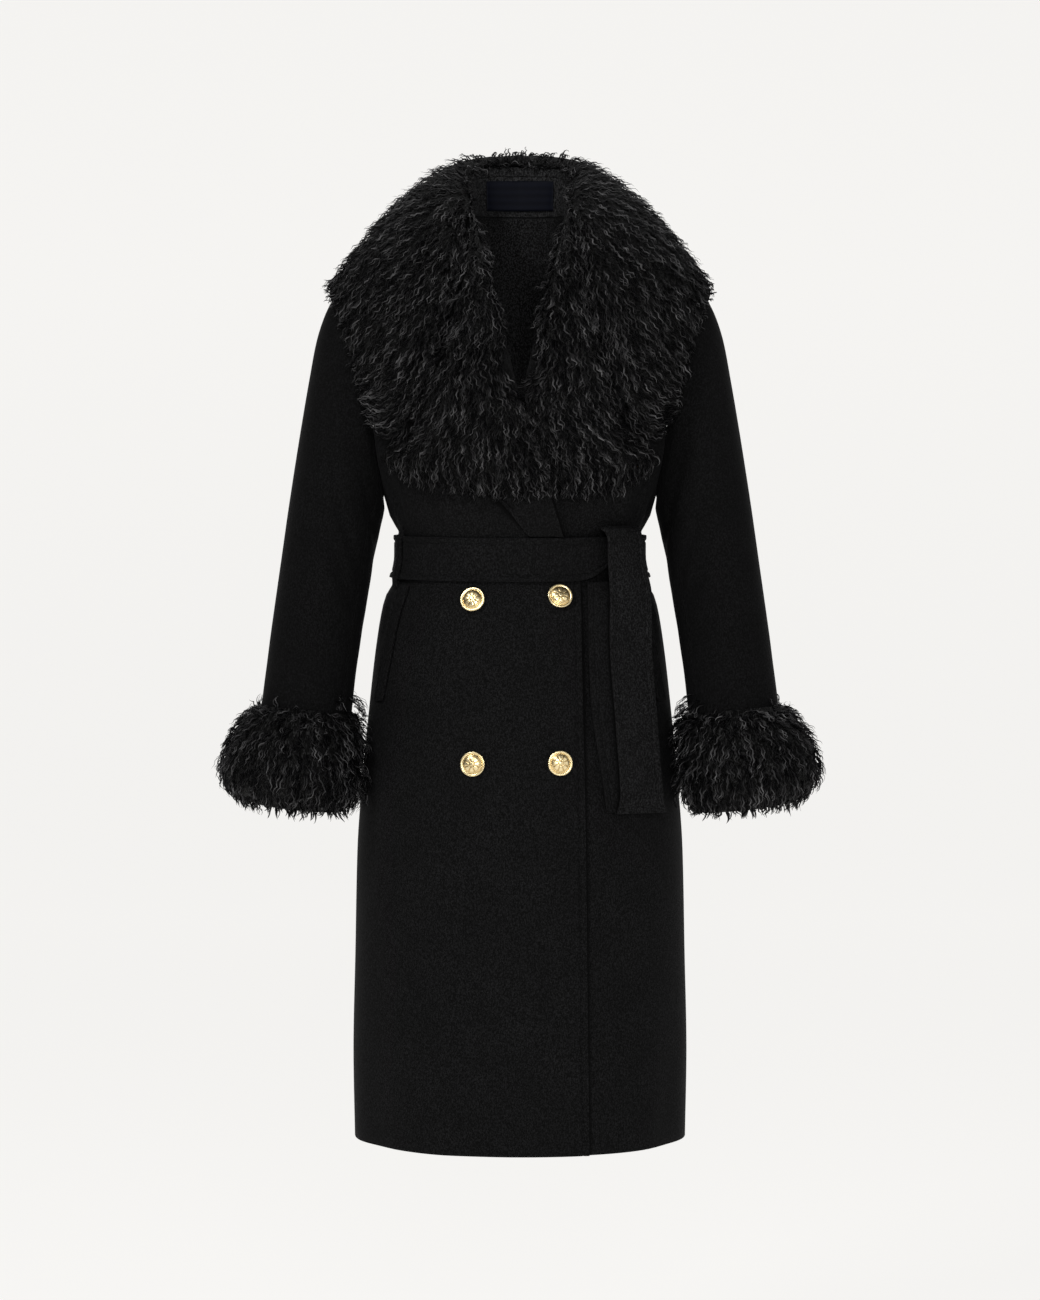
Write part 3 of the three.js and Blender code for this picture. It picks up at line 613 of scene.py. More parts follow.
def sleeve_face(turns, rings, lift, worked):
    """Rows from the armhole seam to the cuff. The sleeve head swells softly out of the seam."""
    turn, ring = np.meshgrid(turns, rings)
    body = on_sleeve(turn, ring, lift + worked(turn, ring))
    head = armhole(turns, np.full(len(turns), float(lift)))
    first = body[0]
    share = np.linspace(0, 1, 6)[:-1, None, None]
    puff = 1.6 * np.sin(np.pi * share) * np.maximum(0, np.cos(turns))[None, :, None]
    rise = head + (first - head) * share + puff * unit(first - head) * np.array([0, 0, 1.0])
    return np.concatenate([rise, body])


def seam_spread(start, end, columns):
    """Turns between two long seams, finer beside them."""
    share = np.linspace(0, 1, columns)
    share = share - 0.09 * np.sin(2 * np.pi * share)
    return np.radians(start + 0.3 + share * (end - start - 0.6))


# A darker copy of the wool for the sleeves: painted shade that makes them darker than the body.
sleeve_wool_painted_shade = wool_coating("black_double_faced_wool_sleeve_painted_shade", "#010101", "#121213", 0.02)
sleeve_rows = np.linspace(1, SLEEVE_END, 66)
for part, start, end, columns in (
    ("sleeve_upper", SLEEVE_SEAMS["back"], SLEEVE_SEAMS["front"], 42),
    ("sleeve_under", SLEEVE_SEAMS["front"], SLEEVE_SEAMS["back"] + 360, 20),
):
    turns = seam_spread(start, end, columns)

    def worked(turn, ring):
        """Creases, and the valleys beside the two long seams."""
        reach = np.minimum(np.abs(turn - turns[0]), np.abs(turn - turns[-1])) * 58
        return -sleeve_crease(turn, ring) - seam_dip(reach)

    def creased(turn, ring):
        """The creases alone, for the inner face."""
        return -sleeve_crease(turn, ring)

    outer = sleeve_face(turns, sleeve_rows, 0, worked)
    inner = sleeve_face(turns, sleeve_rows, -WOOL, creased)
    for side_name, sign in SIDES:
        faces = on_side(outer, sign), on_side(inner, sign)
        cloth(f"{part}_{side_name}", *faces, sleeve_wool_painted_shade, rests_on=f"back_{side_name}")

# ---- Collar stand and under-collar ----
# A band of wool stands up from the neck seam at the back. The under-collar turns over it and falls
# outwards over the shoulders, settled on the fronts, the backs and the sleeve heads under it.
STAND_REACH = 0.7
STAND_TOP = 0.803
FOLD_TOP = 0.81
COLLAR = table(
    "angle fold_x fold_y fold_z rise_x rise_y rise_z fall_x fall_y fall_z edge_x edge_y edge_z",
    (180, 0, 80, 55, 0, 92, 78, 0, 128, 20, 0, 132, -88),
    (144, 40, 68, 53, 56, 80, 74, 86, 122, 4, 92, 122, -98),
    (118, 58, 40, 42, 84, 50, 62, 150, 84, -20, 168, 76, -106),
    (97, 60, 8, 22, 80, 10, 46, 163, 8, -22, 213, 4, -87),
    (78, 57, -14, 12, 78, -34, 24, 163, -78, -48, 195, -63, -146),
    (71, 55, -20, 8, 74, -74, -2, 138, -116, -110, 181, -80, -194),
    (64, 53, -26, 5, 70, -130, -80, 126, -140, -330, 167, -87, -238),
)
COLLAR["at"] = np.linspace(0, 1, len(COLLAR["angle"]))
neck_angle = column(COLLAR, "at", "angle")


def through(knots, t):
    """A smooth curve through points: cubics whose slopes weigh each span by the root of its length."""
    padded = np.concatenate([2 * knots[:1] - knots[1:2], knots, 2 * knots[-1:] - knots[-2:-1]])
    span = np.linalg.norm(np.diff(padded, axis=0), axis=1)[:, None] ** 0.5
    i = np.clip(np.floor(t * (len(knots) - 1)).astype(int), 0, len(knots) - 2)
    w = (t * (len(knots) - 1) - i)[..., None]
    p0, p1, p2, p3 = (padded[i + k] for k in range(4))
    d0, d1, d2 = (span[i + k] for k in range(3))
    leaving = ((p1 - p0) / d0 - (p2 - p0) / (d0 + d1) + (p2 - p1) / d1) * d1
    arriving = ((p2 - p1) / d1 - (p3 - p1) / (d1 + d2) + (p3 - p2) / d2) * d1
    s = 1 - w
    ends = p1 * (1 + 2 * w) * s * s + p2 * (3 - 2 * w) * w * w
    return ends + leaving * w * s * s - arriving * w * w * s


def collar_line(name, station):
    """One of the four lines along the collar, read at stations from -1 (right end) to 1 (left end)."""
    knots = np.stack([COLLAR[f"{name}_{axis}"] for axis in "xyz"], axis=-1)
    point = through(knots, np.abs(station))
    point[..., 0] *= np.sign(station)
    return point


def collar_point(station, out):
    """A cubic from the fold by the neck (0) over the shoulder to the outer edge (1)."""
    station, out = np.broadcast_arrays(station, out)
    fold, rise, fall, edge = (collar_line(name, station) for name in ("fold", "rise", "fall", "edge"))
    t = out[..., None]
    s = 1 - t
    return fold * s**3 + 3 * rise * t * s * s + 3 * fall * t * t * s + edge * t**3


def neck_seam(station):
    """The top edge of the fronts and backs, just above the cloth."""
    point = torso(np.radians(neck_angle(np.abs(station))), NECK) + np.array([0, 0, SEAM])
    point[..., 0] *= np.sign(station)
    return point


def stand_point(station, up):
    """From the neck seam (0) straight to the fold (1)."""
    up = np.asarray(up)[..., None]
    return neck_seam(station) * (1 - up) + collar_point(station, np.zeros_like(station)) * up


def carriers():
    """Points and outward normals of the fronts, backs and sleeve heads that the collar lies on."""
    angle, z = np.meshgrid(np.radians(np.linspace(-180, 180, 91)), np.linspace(-300, NECK, 41))
    lift = np.where(np.cos(angle) > 0, upper_lift(torso(angle, z)[..., 0], z), 0)
    turn, ring = np.meshgrid(np.radians(np.linspace(-180, 180, 61)), np.linspace(1, 8, 29))
    left = sleeve(turn, ring)
    grids = [on_torso(angle, z, lift), left, on_side(left, -1)[:, ::-1]]
    points = np.concatenate([grid.reshape(-1, 3) for grid in grids])
    normals = np.concatenate([grid_normals(grid).reshape(-1, 3) for grid in grids])
    return points, normals


def settled(grid, clearance):
    """Three times over, each point is moved out along the normal of the nearest cloth until it clears it."""
    points, normals = carriers()
    flat = grid.reshape(-1, 3).copy()
    for _ in range(3):
        apart = (flat**2).sum(1)[:, None] - 2 * flat @ points.T + (points**2).sum(1)[None, :]
        nearest = np.argmin(apart, axis=1)
        height = np.einsum("ij,ij->i", flat - points[nearest], normals[nearest])
        flat += np.maximum(0, clearance - height)[:, None] * normals[nearest]
    return flat.reshape(grid.shape)


def finer(grid, rows, columns):
    """A grid read more finely by smooth curves along its columns and then its rows."""
    tall = np.stack([through(grid[:, j], np.linspace(0, 1, rows)) for j in range(grid.shape[1])], axis=1)
    return np.stack([through(tall[i], np.linspace(0, 1, columns)) for i in range(rows)])


COLLAR_ROWS, COLLAR_COLUMNS = 41, 145
COLLAR_CLEARANCE = WOOL + 5.2 * LAYER  # room for the under-collar, the lapel and its facing
free = collar_point(np.linspace(-1, 1, 37)[None, :], np.linspace(0, 1, 9)[:, None])
collar_under = finer(settled(free, COLLAR_CLEARANCE), COLLAR_ROWS, COLLAR_COLUMNS)
collar_normals = grid_normals(collar_under)
collar_stations = np.linspace(-1, 1, COLLAR_COLUMNS)

turn_line = stand_point(collar_stations, np.full(COLLAR_COLUMNS, FOLD_TOP))
fall_face = np.concatenate([turn_line[None], (collar_under - SEAM * collar_normals)[:-3:2]])[:, ::2]
fall_inner = fall_face - WOOL * grid_normals(fall_face)
# The stand and the under-collar use a paler copy of the wool, as painted light inside the neck.
stand_wool_painted_light = wool_coating("black_double_faced_wool_stand_painted_light", "#080808", "#3a3a3b", 0.03)
cloth("under_collar", fall_face, fall_inner, stand_wool_painted_light, "folded")

within = np.linspace(-STAND_REACH + 0.02, STAND_REACH - 0.02, 60)
up = np.linspace(0, STAND_TOP, 10)
stand_face = np.stack([stand_point(within, np.full(60, share)) for share in up])
stand_back = stand_face - WOOL * grid_normals(stand_face)
cloth("collar_stand", stand_face, stand_back, stand_wool_painted_light, "stretched", ["back_left", "back_right"])

# ---- Neck label ----
# A plain damask label of dark navy satin, left bare, sewn by its edges to the inside of the stand.
LABEL = {"reach": 0.166, "bottom": 0.12, "top": 0.72, "thick": 0.8, "wide": 78, "tall": 30}


def woven_satin(name, dark, light, thread):
    """Satin: long floats lie one way, so ribs a thread apart, in millimetres, catch the light."""
    material, tree = new_material(name)
    place = add(tree, "TexCoord")
    ribs = add(
        tree,
        "TexWave",
        {"Vector": (place, "UV"), "Scale": 1 / (thread * 0.001) / 20, "Distortion": 0.6},
        bands_direction="Y",
    )
    gloss = {"Roughness": 0.7, "Specular IOR Level": 0.12, "Anisotropic": 0.3}
    surfaced(tree, (ribs, "Fac"), dark, light, ((ribs, "Fac"), 0.4, 0.0002), gloss)
    return material


navy_satin = woven_satin("navy_label_satin", "#03050f", "#080b16", 1.2)
label_stations = np.linspace(-LABEL["reach"], LABEL["reach"], 40)
label_rows = np.linspace(LABEL["bottom"], LABEL["top"], 14)
backing = np.stack([stand_point(label_stations, np.full(40, share)) for share in label_rows])
label_face = backing + (LAYER + LABEL["thick"]) * grid_normals(backing)
label_back = backing + LAYER * grid_normals(backing)
label_lie = np.meshgrid(np.linspace(0, LABEL["wide"], 40), np.linspace(0, LABEL["tall"], 14))
label_place = np.stack(label_lie, axis=-1)
label = shell("neck_label_satin", label_face, label_back, navy_satin, pattern=label_place)
placed(label, "neck_label")

# ---- Lapels ----
# The lapel cloth folds back at the roll line and lies on the chest. Its felled edge shows below the fur.
# The left lapel ends where the upper front crosses it.
LAPEL = table(
    "roll x z",
    (-366, 11, -366),
    (-318, -37, -318),
    (-292, -100, -305),
    (-262, -150, -279),
    (-232, -128, -256),
    (-150, -93, -168),
    (-70, -67, -80),
    (-12, -53.5, -12),
)
LAPEL["row"] = np.arange(float(len(LAPEL["roll"])))


def lapel_grid(rows, up, across, sign, bulge=0.0, recess=0.0):
    """Chest coordinates of a lapel: straight from its outer edge (0) to its roll line (1) at each row up it.

    A recess in millimetres draws the roll side back just above the point of the neckline.
    """
    roll_at, edge_x, edge_z = (column(rows, "row", name)(up) for name in ("roll", "x", "z"))
    own = -sign * front_edge(roll_at)
    overlapped = (sign > 0) & (front_edge(roll_at) > -front_edge(roll_at))
    roll_x = np.where(overlapped, front_edge(roll_at) + 3, own)
    roll_x = roll_x + sign * recess * np.exp(-(((roll_at + 180) / 26) ** 2))
    share, edge_x, roll_x = across[None, :], (-sign * edge_x)[:, None], roll_x[:, None]
    x = edge_x + (roll_x - edge_x) * share
    drop = bulge * np.sin(np.pi * share) * np.maximum(0, 1 - up)[:, None]
    z = edge_z[:, None] + (roll_at - edge_z)[:, None] * share - drop
    return x, z


def on_chest(x, z, lift):
    """Chest coordinates put on the coat's face and moved out of it."""
    return on_torso(front_angle(x, z), z, lift)


lapel_across = np.concatenate([[0, 0.015, 0.03, 0.045, 0.06, 0.075, 0.09], np.linspace(0.12, 1, 22)])
for side_name, sign, under in (("right", -1, upper_lift), ("left", 1, no_lift)):
    lowest = 1 if sign > 0 else 0
    lapel_up = np.linspace(lowest, len(LAPEL["roll"]) - 1, 60)
    x, z = lapel_grid(LAPEL, lapel_up, lapel_across, sign)
    reach = np.abs(x - x[:, :1])
    base = under(x, z) + 2 * LAYER
    swell = 4.0 if sign < 0 else 2.0
    roll_swell = swell * smoothstep(lapel_across, 0.7, 0.95)[None, :] * smoothstep(reach, 10, 60)
    outer = on_chest(x, z, base + WOOL + felled_edge(reach) + roll_swell)
    inner = on_chest(x, z, base + roll_swell)
    cloth(f"lapel_{side_name}", outer, inner, black_wool, "folded", f"front_{side_name}")


# ---- Curly lamb fur ----
# Black long-haired lamb. The skin is dense and dark, and its hair gathers in narrow glossy locks that
# wave every 7 to 10 mm and end in points. Locks are real shapes: three-sided and tapered, set as arrays.
# In millimetres: how deep the roots sink, how long a lock's wave is, how far it sways and curls, the
# space between neighbours, and how far a stray one stands off. A lock is a little flatter than round.
SINK = 3.5
WAVE = (6.8, 10.0)
SWAY = (1.1, 2.1)
CURL = 1.3
SPACING = 2.6
STRAY = 7.0
FLATNESS = 0.55


def curly_fur(name, dark, light):
    """Hairs that run along each lock: streaks 0.9 mm apart across it and 12 mm long, paler towards its tip.

    Real hair is ten times finer; these streaks are as coarse as they need to be to show. The pale
    streaks are painted highlights on black hair, and the dark roots are painted shade.
    """
    material, tree = new_material(name)
    place = add(tree, "TexCoord")
    drawn = add(tree, "Mapping", {"Vector": (place, "UV"), "Scale": (1 / 0.0009, 1 / 0.012, 1)})
    hairs = add(tree, "TexNoise", {"Vector": (drawn, "Vector"), "Scale": 1.0, "Detail": 2.0})
    tufts = add(tree, "TexNoise", {"Vector": (place, "Object"), "Scale": 1 / 0.016, "Detail": 2.0})
    tone_and_painted_light = add(tree, "Attribute", attribute_name="tone_and_painted_light")
    tone = add(tree, "Math", {0: (hairs, "Fac"), 1: (tufts, "Fac")}, operation="MULTIPLY")
    strand = add(tree, "MapRange", {"Value": (tone, "Value"), "From Min": 0.12, "From Max": 0.42})
    lit = add(tree, "Math", {0: (strand, "Result"), 1: (tone_and_painted_light, "Fac")}, operation="MULTIPLY")
    gloss = {"Roughness": 0.4, "Specular IOR Level": 0.08}
    surfaced(tree, (lit, "Value"), dark, light, ((hairs, "Fac"), 0.7, 0.0005), gloss)
    return material


def lamb_skin(name, dark, light):
    """The short curls at the roots: noise 1.8 mm across the lie and 6 mm along it, wrung into waves."""
    material, tree = new_material(name)
    place = add(tree, "TexCoord")
    drawn = add(tree, "Mapping", {"Vector": (place, "UV"), "Scale": (1 / 0.0018, 1 / 0.006, 1)})
    wrung = {"Vector": (drawn, "Vector"), "Scale": 1.0, "Detail": 3.0, "Distortion": 1.8}
    curls = add(tree, "TexNoise", wrung)
    # Painted shade: the hollows of the curls are darker.
    depth = add(tree, "MapRange", {"Value": (curls, "Fac"), "From Min": 0.5, "From Max": 0.66})
    gloss = {"Roughness": 0.6, "Specular IOR Level": 0.1}
    surfaced(tree, (depth, "Result"), dark, light, ((curls, "Fac"), 1.0, 0.003), gloss)
    return material


# The pale end of the fur's colour is a painted highlight on black hair.
black_curls = curly_fur("black_curly_lamb_fur", "#000001", "#828182")
# The underwool is black, and painted darker than the locks as shade between them.
underwool_and_painted_shade = lamb_skin("black_lamb_underwool_and_painted_shade", "#000000", "#303030")
dice = np.random.default_rng(11)


def curl_ridges(across, along, size):
    """Ridges of neighbouring locks: two waves across the lie that wander from side to side as they run."""
    wander = 1.5 * np.sin(along * 0.75 + 2.2 * np.sin(across * 0.11) + 1.3 * np.sin(across * 0.043))
    coarse = np.sin(across * 1.15 + wander + 0.8 * np.sin(along * 0.21 + across * 0.3))
    fine = np.sin(across * 2.3 - wander * 1.4 + along * 0.3)
    return size * (0.62 * coarse + 0.38 * fine)


def read_grid(grid, row, column_):
    """Bilinear reading of a grid at fractional rows and columns, kept inside it."""
    row = np.clip(row, 0, grid.shape[0] - 1.0001)
    column_ = np.clip(column_, 0, grid.shape[1] - 1.0001)
    i, j = row.astype(int), column_.astype(int)
    a, b = (row - i)[..., None], (column_ - j)[..., None]
    near = grid[i, j] * (1 - b) + grid[i, j + 1] * b
    return near * (1 - a) + (grid[i + 1, j] * (1 - b) + grid[i + 1, j + 1] * b) * a


PAST = 7  # rows or columns added past an edge, for locks that hang over it
STRAIGHT = (0, 0, 0)


def carried_on(face, normals, axis, last, pull, bend):
    """A face and its normals carried on past one edge, by the edge's own spacing.

    The way on is the edge's direction plus a pull, and it bends away from the normal by the square
    of the distance.
    """
    edge, inside = (np.take(face, at, axis=axis) for at in ((-1, -2) if last else (0, 1)))
    spacing = np.maximum(np.linalg.norm(edge - inside, axis=-1, keepdims=True), 1.2)
    out = np.take(normals, -1 if last else 0, axis=axis)
    way = unit(unit(edge - inside) + np.asarray(pull))
    far = [edge + way * spacing * k - out * bend * (spacing * k) ** 2 for k in range(1, PAST + 1)]
    lie = [unit(out + way * 2 * bend * spacing * k) for k in range(1, PAST + 1)]
    if last:
        pairs = (face, np.stack(far, axis=axis)), (normals, np.stack(lie, axis=axis))
    else:
        pairs = (np.stack(far[::-1], axis=axis), face), (np.stack(lie[::-1], axis=axis), normals)
    return [np.concatenate(pair, axis=axis) for pair in pairs]


def widened(face, lie, *edges):
    """A face and its normals carried on past each edge in turn: its axis, whether last, its pull and bend."""
    for edge in edges:
        face, lie = carried_on(face, lie, *edge)
    return face, lie


def paired(first, second):
    """Two columns of numbers as pairs: roots as rows and columns, or headings as down and across."""
    return np.stack([first, second], axis=-1)


def scattered(count, face, weight=1.0):
    """Roots spread evenly on a face, and closer together where the weight is higher.

    Of six times as many random points, each root is the one furthest from all that came before it.
    """
    tries = 6 * count
    cells = np.linalg.norm(np.cross(face[1:, :-1] - face[:-1, :-1], face[:-1, 1:] - face[:-1, :-1]), axis=-1)
    total = np.cumsum((cells * weight).ravel())
    pick = np.searchsorted(total / total[-1], dice.uniform(0, 0.9999, tries))
    spots = np.stack(np.divmod(pick, cells.shape[1]), axis=-1) + dice.uniform(0, 1, (tries, 2))
    closeness = np.sqrt(np.broadcast_to(weight, cells.shape).ravel()[pick])
    points = read_grid(face, spots[:, 0], spots[:, 1])
    chosen, gap = [0], np.full(tries, np.inf)
    for _ in range(count - 1):
        gap = np.minimum(gap, np.linalg.norm(points - points[chosen[-1]], axis=-1))
        chosen.append(int(np.argmax(gap * closeness)))
    return spots[chosen]


def traced(face, normals, roots, heading, length, steps):
    """Lines on a face that start at roots (row, column) and keep their headings (down, across)."""
    down = np.linalg.norm(np.gradient(face, axis=0), axis=-1, keepdims=True)
    over = np.linalg.norm(np.gradient(face, axis=1), axis=-1, keepdims=True)
    row, column_ = roots[:, 0].copy(), roots[:, 1].copy()
    points, outs = [], []
    for _ in range(steps):
        points.append(read_grid(face, row, column_))
        outs.append(unit(read_grid(normals, row, column_)))
        stride = length / (steps - 1)
        row += heading[:, 0] * stride / read_grid(down, row, column_)[:, 0]
        column_ += heading[:, 1] * stride / np.maximum(read_grid(over, row, column_)[:, 0], 0.4)
    return np.stack(points, axis=1), np.stack(outs, axis=1)


def locks(name, wide, roots, heading, length, strands=3, thick=2.5, lifted=(-2.0, 4.0), wild=1.0):
    """Tufts of wavy tapered locks on a widened face and its normals, as one mesh.

    Each tuft follows its traced line. Its locks start side by side, draw together towards the tip,
    sway from side to side and in and out as a flattened coil, and rise from the skin by lifted.
    """
    steps = 10

    def each(low, high):
        """One even random number for each lock."""
        return dice.uniform(low, high, (count, 1))

    line, out = traced(*wide, roots, unit(heading), length, steps)
    line, out = np.repeat(line, strands, axis=0), np.repeat(out, strands, axis=0)
    count = len(line)
    t = np.linspace(0, 1, steps)[None, :]
    reach = np.repeat(length, strands)[:, None] * each(0.8, 1.0)
    wave = np.repeat(dice.uniform(*WAVE, (len(roots), 1)), strands, axis=0)
    phase = np.repeat(dice.uniform(0, 2 * np.pi, (len(roots), 1)), strands, axis=0)
    turns = 2 * np.pi * reach * t / wave + phase + dice.normal(0, 0.7, (count, 1))
    tangent = unit(np.gradient(line, axis=1))
    side = unit(np.cross(tangent, out))
    beside = np.tile(np.arange(strands) - (strands - 1) / 2, len(roots))[:, None]
    apart = (SPACING * beside + each(-1.0, 1.0)) * (1 - 0.35 * t)
    loosened = wild * (0.35 + 0.65 * t)
    sway = each(*SWAY) * np.sin(turns) * loosened
    astray = each(-1.6, 1.4) + STRAY * each(0, 1) ** 4
    rise = lifted[0] + (lifted[1] - lifted[0]) * np.sin(t * np.pi / 2) + astray * t
    curl = CURL * np.cos(turns) * loosened
    point = line + side * (apart + sway)[..., None] + out * (rise + curl)[..., None]
    tangent = unit(np.gradient(point, axis=1))
    side = unit(np.cross(tangent, out))
    out = np.cross(side, tangent)
    swell = (0.55 + 0.45 * np.sin(np.pi * (0.1 + 0.8 * t))) * (1 - 0.88 * t**3)
    width = (thick * each(0.55, 1.2) * swell)[..., None]
    thirds = np.radians([90, 210, 330])
    corners = [side * math.cos(turn) + out * FLATNESS * math.sin(turn) for turn in thirds]
    points = np.stack([point + corner * width / 2 for corner in corners], axis=2)
    k = np.arange(steps - 1)[:, None] * 3
    c = np.arange(3)[None, :]
    walls = np.stack([k + c, k + (c + 1) % 3, k + 3 + (c + 1) % 3, k + 3 + c], axis=-1).reshape(-1, 4)
    start = (np.arange(count) * steps * 3)[:, None, None]
    quads = (walls[None] + start).reshape(-1, 4)
    caps = np.stack([[2, 1, 0], [steps * 3 - 3, steps * 3 - 2, steps * 3 - 1]])
    tris = (caps[None] + start).reshape(-1, 3)
    around = np.broadcast_to(np.array([0, 1.2, 2.4]), (count, steps, 3)) + each(0, 60)[..., None]
    down = (reach * t)[..., None] + np.zeros(3) + each(0, 90)[..., None]
    pattern = np.stack([around, down], axis=-1).reshape(-1, 2)
    thing = put_mesh(name, points.reshape(-1, 3), quads.tolist() + tris.tolist(), black_curls, pattern)
    # Each lock's tone differs at random; the ramp from a dark root to a pale tip is painted shade and light.
    shade = (0.02 + each(0, 1) ** 3) * smoothstep(t, -0.1, 0.8)
    mark(thing, "tone_and_painted_light", np.broadcast_to(shade[..., None], (count, steps, 3)))
    placed(thing)


def pelt(node, outer, inner, across_mm, along_mm, round_=False):
    """The dense body of the fur, under its locks, on every second row and column of its faces."""
    place = np.stack(np.broadcast_arrays(across_mm, along_mm), axis=-1)
    keep = np.unique(np.append(np.arange(0, outer.shape[0], 2), outer.shape[0] - 1))
    outer, inner, place = (grid[keep][:, ::2] for grid in (outer, inner, place))
    placed(shell(node + "_pelt", outer, inner, underwool_and_painted_shade, round_, place), node)


def run_down(grid):
    """Distance down each column of a grid from its first row."""
    strides = np.linalg.norm(np.diff(grid, axis=0), axis=-1)
    return np.concatenate([np.zeros((1, grid.shape[1])), np.cumsum(strides, axis=0)])


def kept_short(length, face, roots, past):
    """Lengths cut so that no lock reaches further past the face's last row than its own share of past."""
    run = run_down(face)
    left = read_grid((run[-1:] - run)[..., None], roots[:, 0], roots[:, 1])[:, 0]
    return np.minimum(length, left + past * dice.uniform(0.35, 1, len(length)))


# ---- Fur collar ----
# One pelt right round the neck, widest over the shoulders. The hair lies outwards from the neck, and
# short curls roll over the rim of the neckline.
COLLAR_REACH = 330  # half the length of the pelt, along which its curls are laid out
COLLAR_PILE = table("at deep", (0, 7), (0.25, 15), (0.5, 17), (0.75, 12), (1, 4))
collar_rows = np.linspace(0, 1, COLLAR_ROWS)
collar_ends = 0.55 + 0.45 * smoothstep(1 - np.abs(collar_stations), 0, 0.05)[None, :]
collar_deep = np.maximum(column(COLLAR_PILE, "at", "deep")(collar_rows) - SINK, 1.5)[:, None] * collar_ends
collar_along = run_down(collar_under)
collar_across = collar_stations[None, :] * COLLAR_REACH
ridges = curl_ridges(collar_across, collar_along, 1.2) * np.sqrt(collar_rows)[:, None]
collar_face = collar_under + collar_normals * (collar_deep + ridges)[..., None]
pelt("fur_collar", collar_face, collar_under, collar_across, collar_along)

COLLAR_TUFTS, CURLS = 805, 120
denser = (0.8 + 0.4 * smoothstep(np.abs(collar_stations), 0.3, 0.6))[None, 1:]
collar_lie = grid_normals(collar_face)
collar_wide = widened(
    collar_face,
    collar_lie,
    (0, True, (0, 0, -1.2), 0.004),
    (0, False, STRAIGHT, 0.045),
    (1, True, STRAIGHT, 0.012),
    (1, False, STRAIGHT, 0.012),
)
nape = COLLAR_COLUMNS // 2
for side_name, end, low, high in (("right", -1, 0, nape + 1), ("left", 1, nape, COLLAR_COLUMNS)):
    face = collar_face[:, low:high]
    roots = scattered(COLLAR_TUFTS, face, denser[:, low : low + face.shape[1] - 1])
    length = kept_short(dice.uniform(17, 27, COLLAR_TUFTS), face, roots, 5)
    heading = paired(np.ones(COLLAR_TUFTS), dice.normal(0, 0.22, COLLAR_TUFTS))
    locks(f"fur_collar_locks_{side_name}", collar_wide, roots + [PAST, PAST + low], heading, length)

    rim = paired(dice.uniform(0, 2.5, CURLS), dice.uniform(low, high - 1, CURLS))
    turn_in = paired(dice.uniform(-1, 0.4, CURLS), dice.normal(0, 0.8, CURLS))
    length = dice.uniform(9, 15, CURLS)
    name = f"fur_collar_rim_{side_name}"
    locks(name, collar_wide, rim + PAST, turn_in, length, strands=2, thick=1.9, lifted=(-3.0, 1.5), wild=1.3)

    down_front = dice.uniform(1, 29, CURLS)
    edge = (COLLAR_COLUMNS - 1 if end > 0 else 0) - end * dice.uniform(-2, 5, CURLS)
    front = paired(down_front, edge)
    aside = paired(dice.uniform(0.6, 1, CURLS), end * dice.uniform(-0.1, 0.6, CURLS))
    length = kept_short(dice.uniform(14, 24, CURLS), collar_face, front, 3)
    name = f"fur_collar_front_{side_name}"
    locks(name, collar_wide, front + PAST, aside, length, strands=2, thick=2.1, lifted=(-0.5, 5.0))

# ---- Fur lapels ----
# The hair falls from the neck down and out over each lapel, and hangs past its lower edge.
LAPEL_FUR = table(
    "roll x z",
    (-316, -150, -284),
    (-300, -153, -278),
    (-268, -143, -268),
    (-240, -124, -254),
    (-150, -89, -168),
    (-70, -64, -80),
    (-16, -52, -16),
)
LAPEL_FUR["row"] = np.arange(float(len(LAPEL_FUR["roll"])))
LAPEL_PILE = table("at deep", (0, 11), (0.2, 18), (0.7, 18), (1, 8))
LAPEL_TUFTS, ROLL_CURLS, GORGE_TUFTS = 400, 90, 130


def forward_normals(grid):
    """A grid's normals, turned round if they point backwards at its middle."""
    normals = grid_normals(grid)
    return normals * np.sign(-normals[grid.shape[0] // 2, grid.shape[1] // 2, 1])


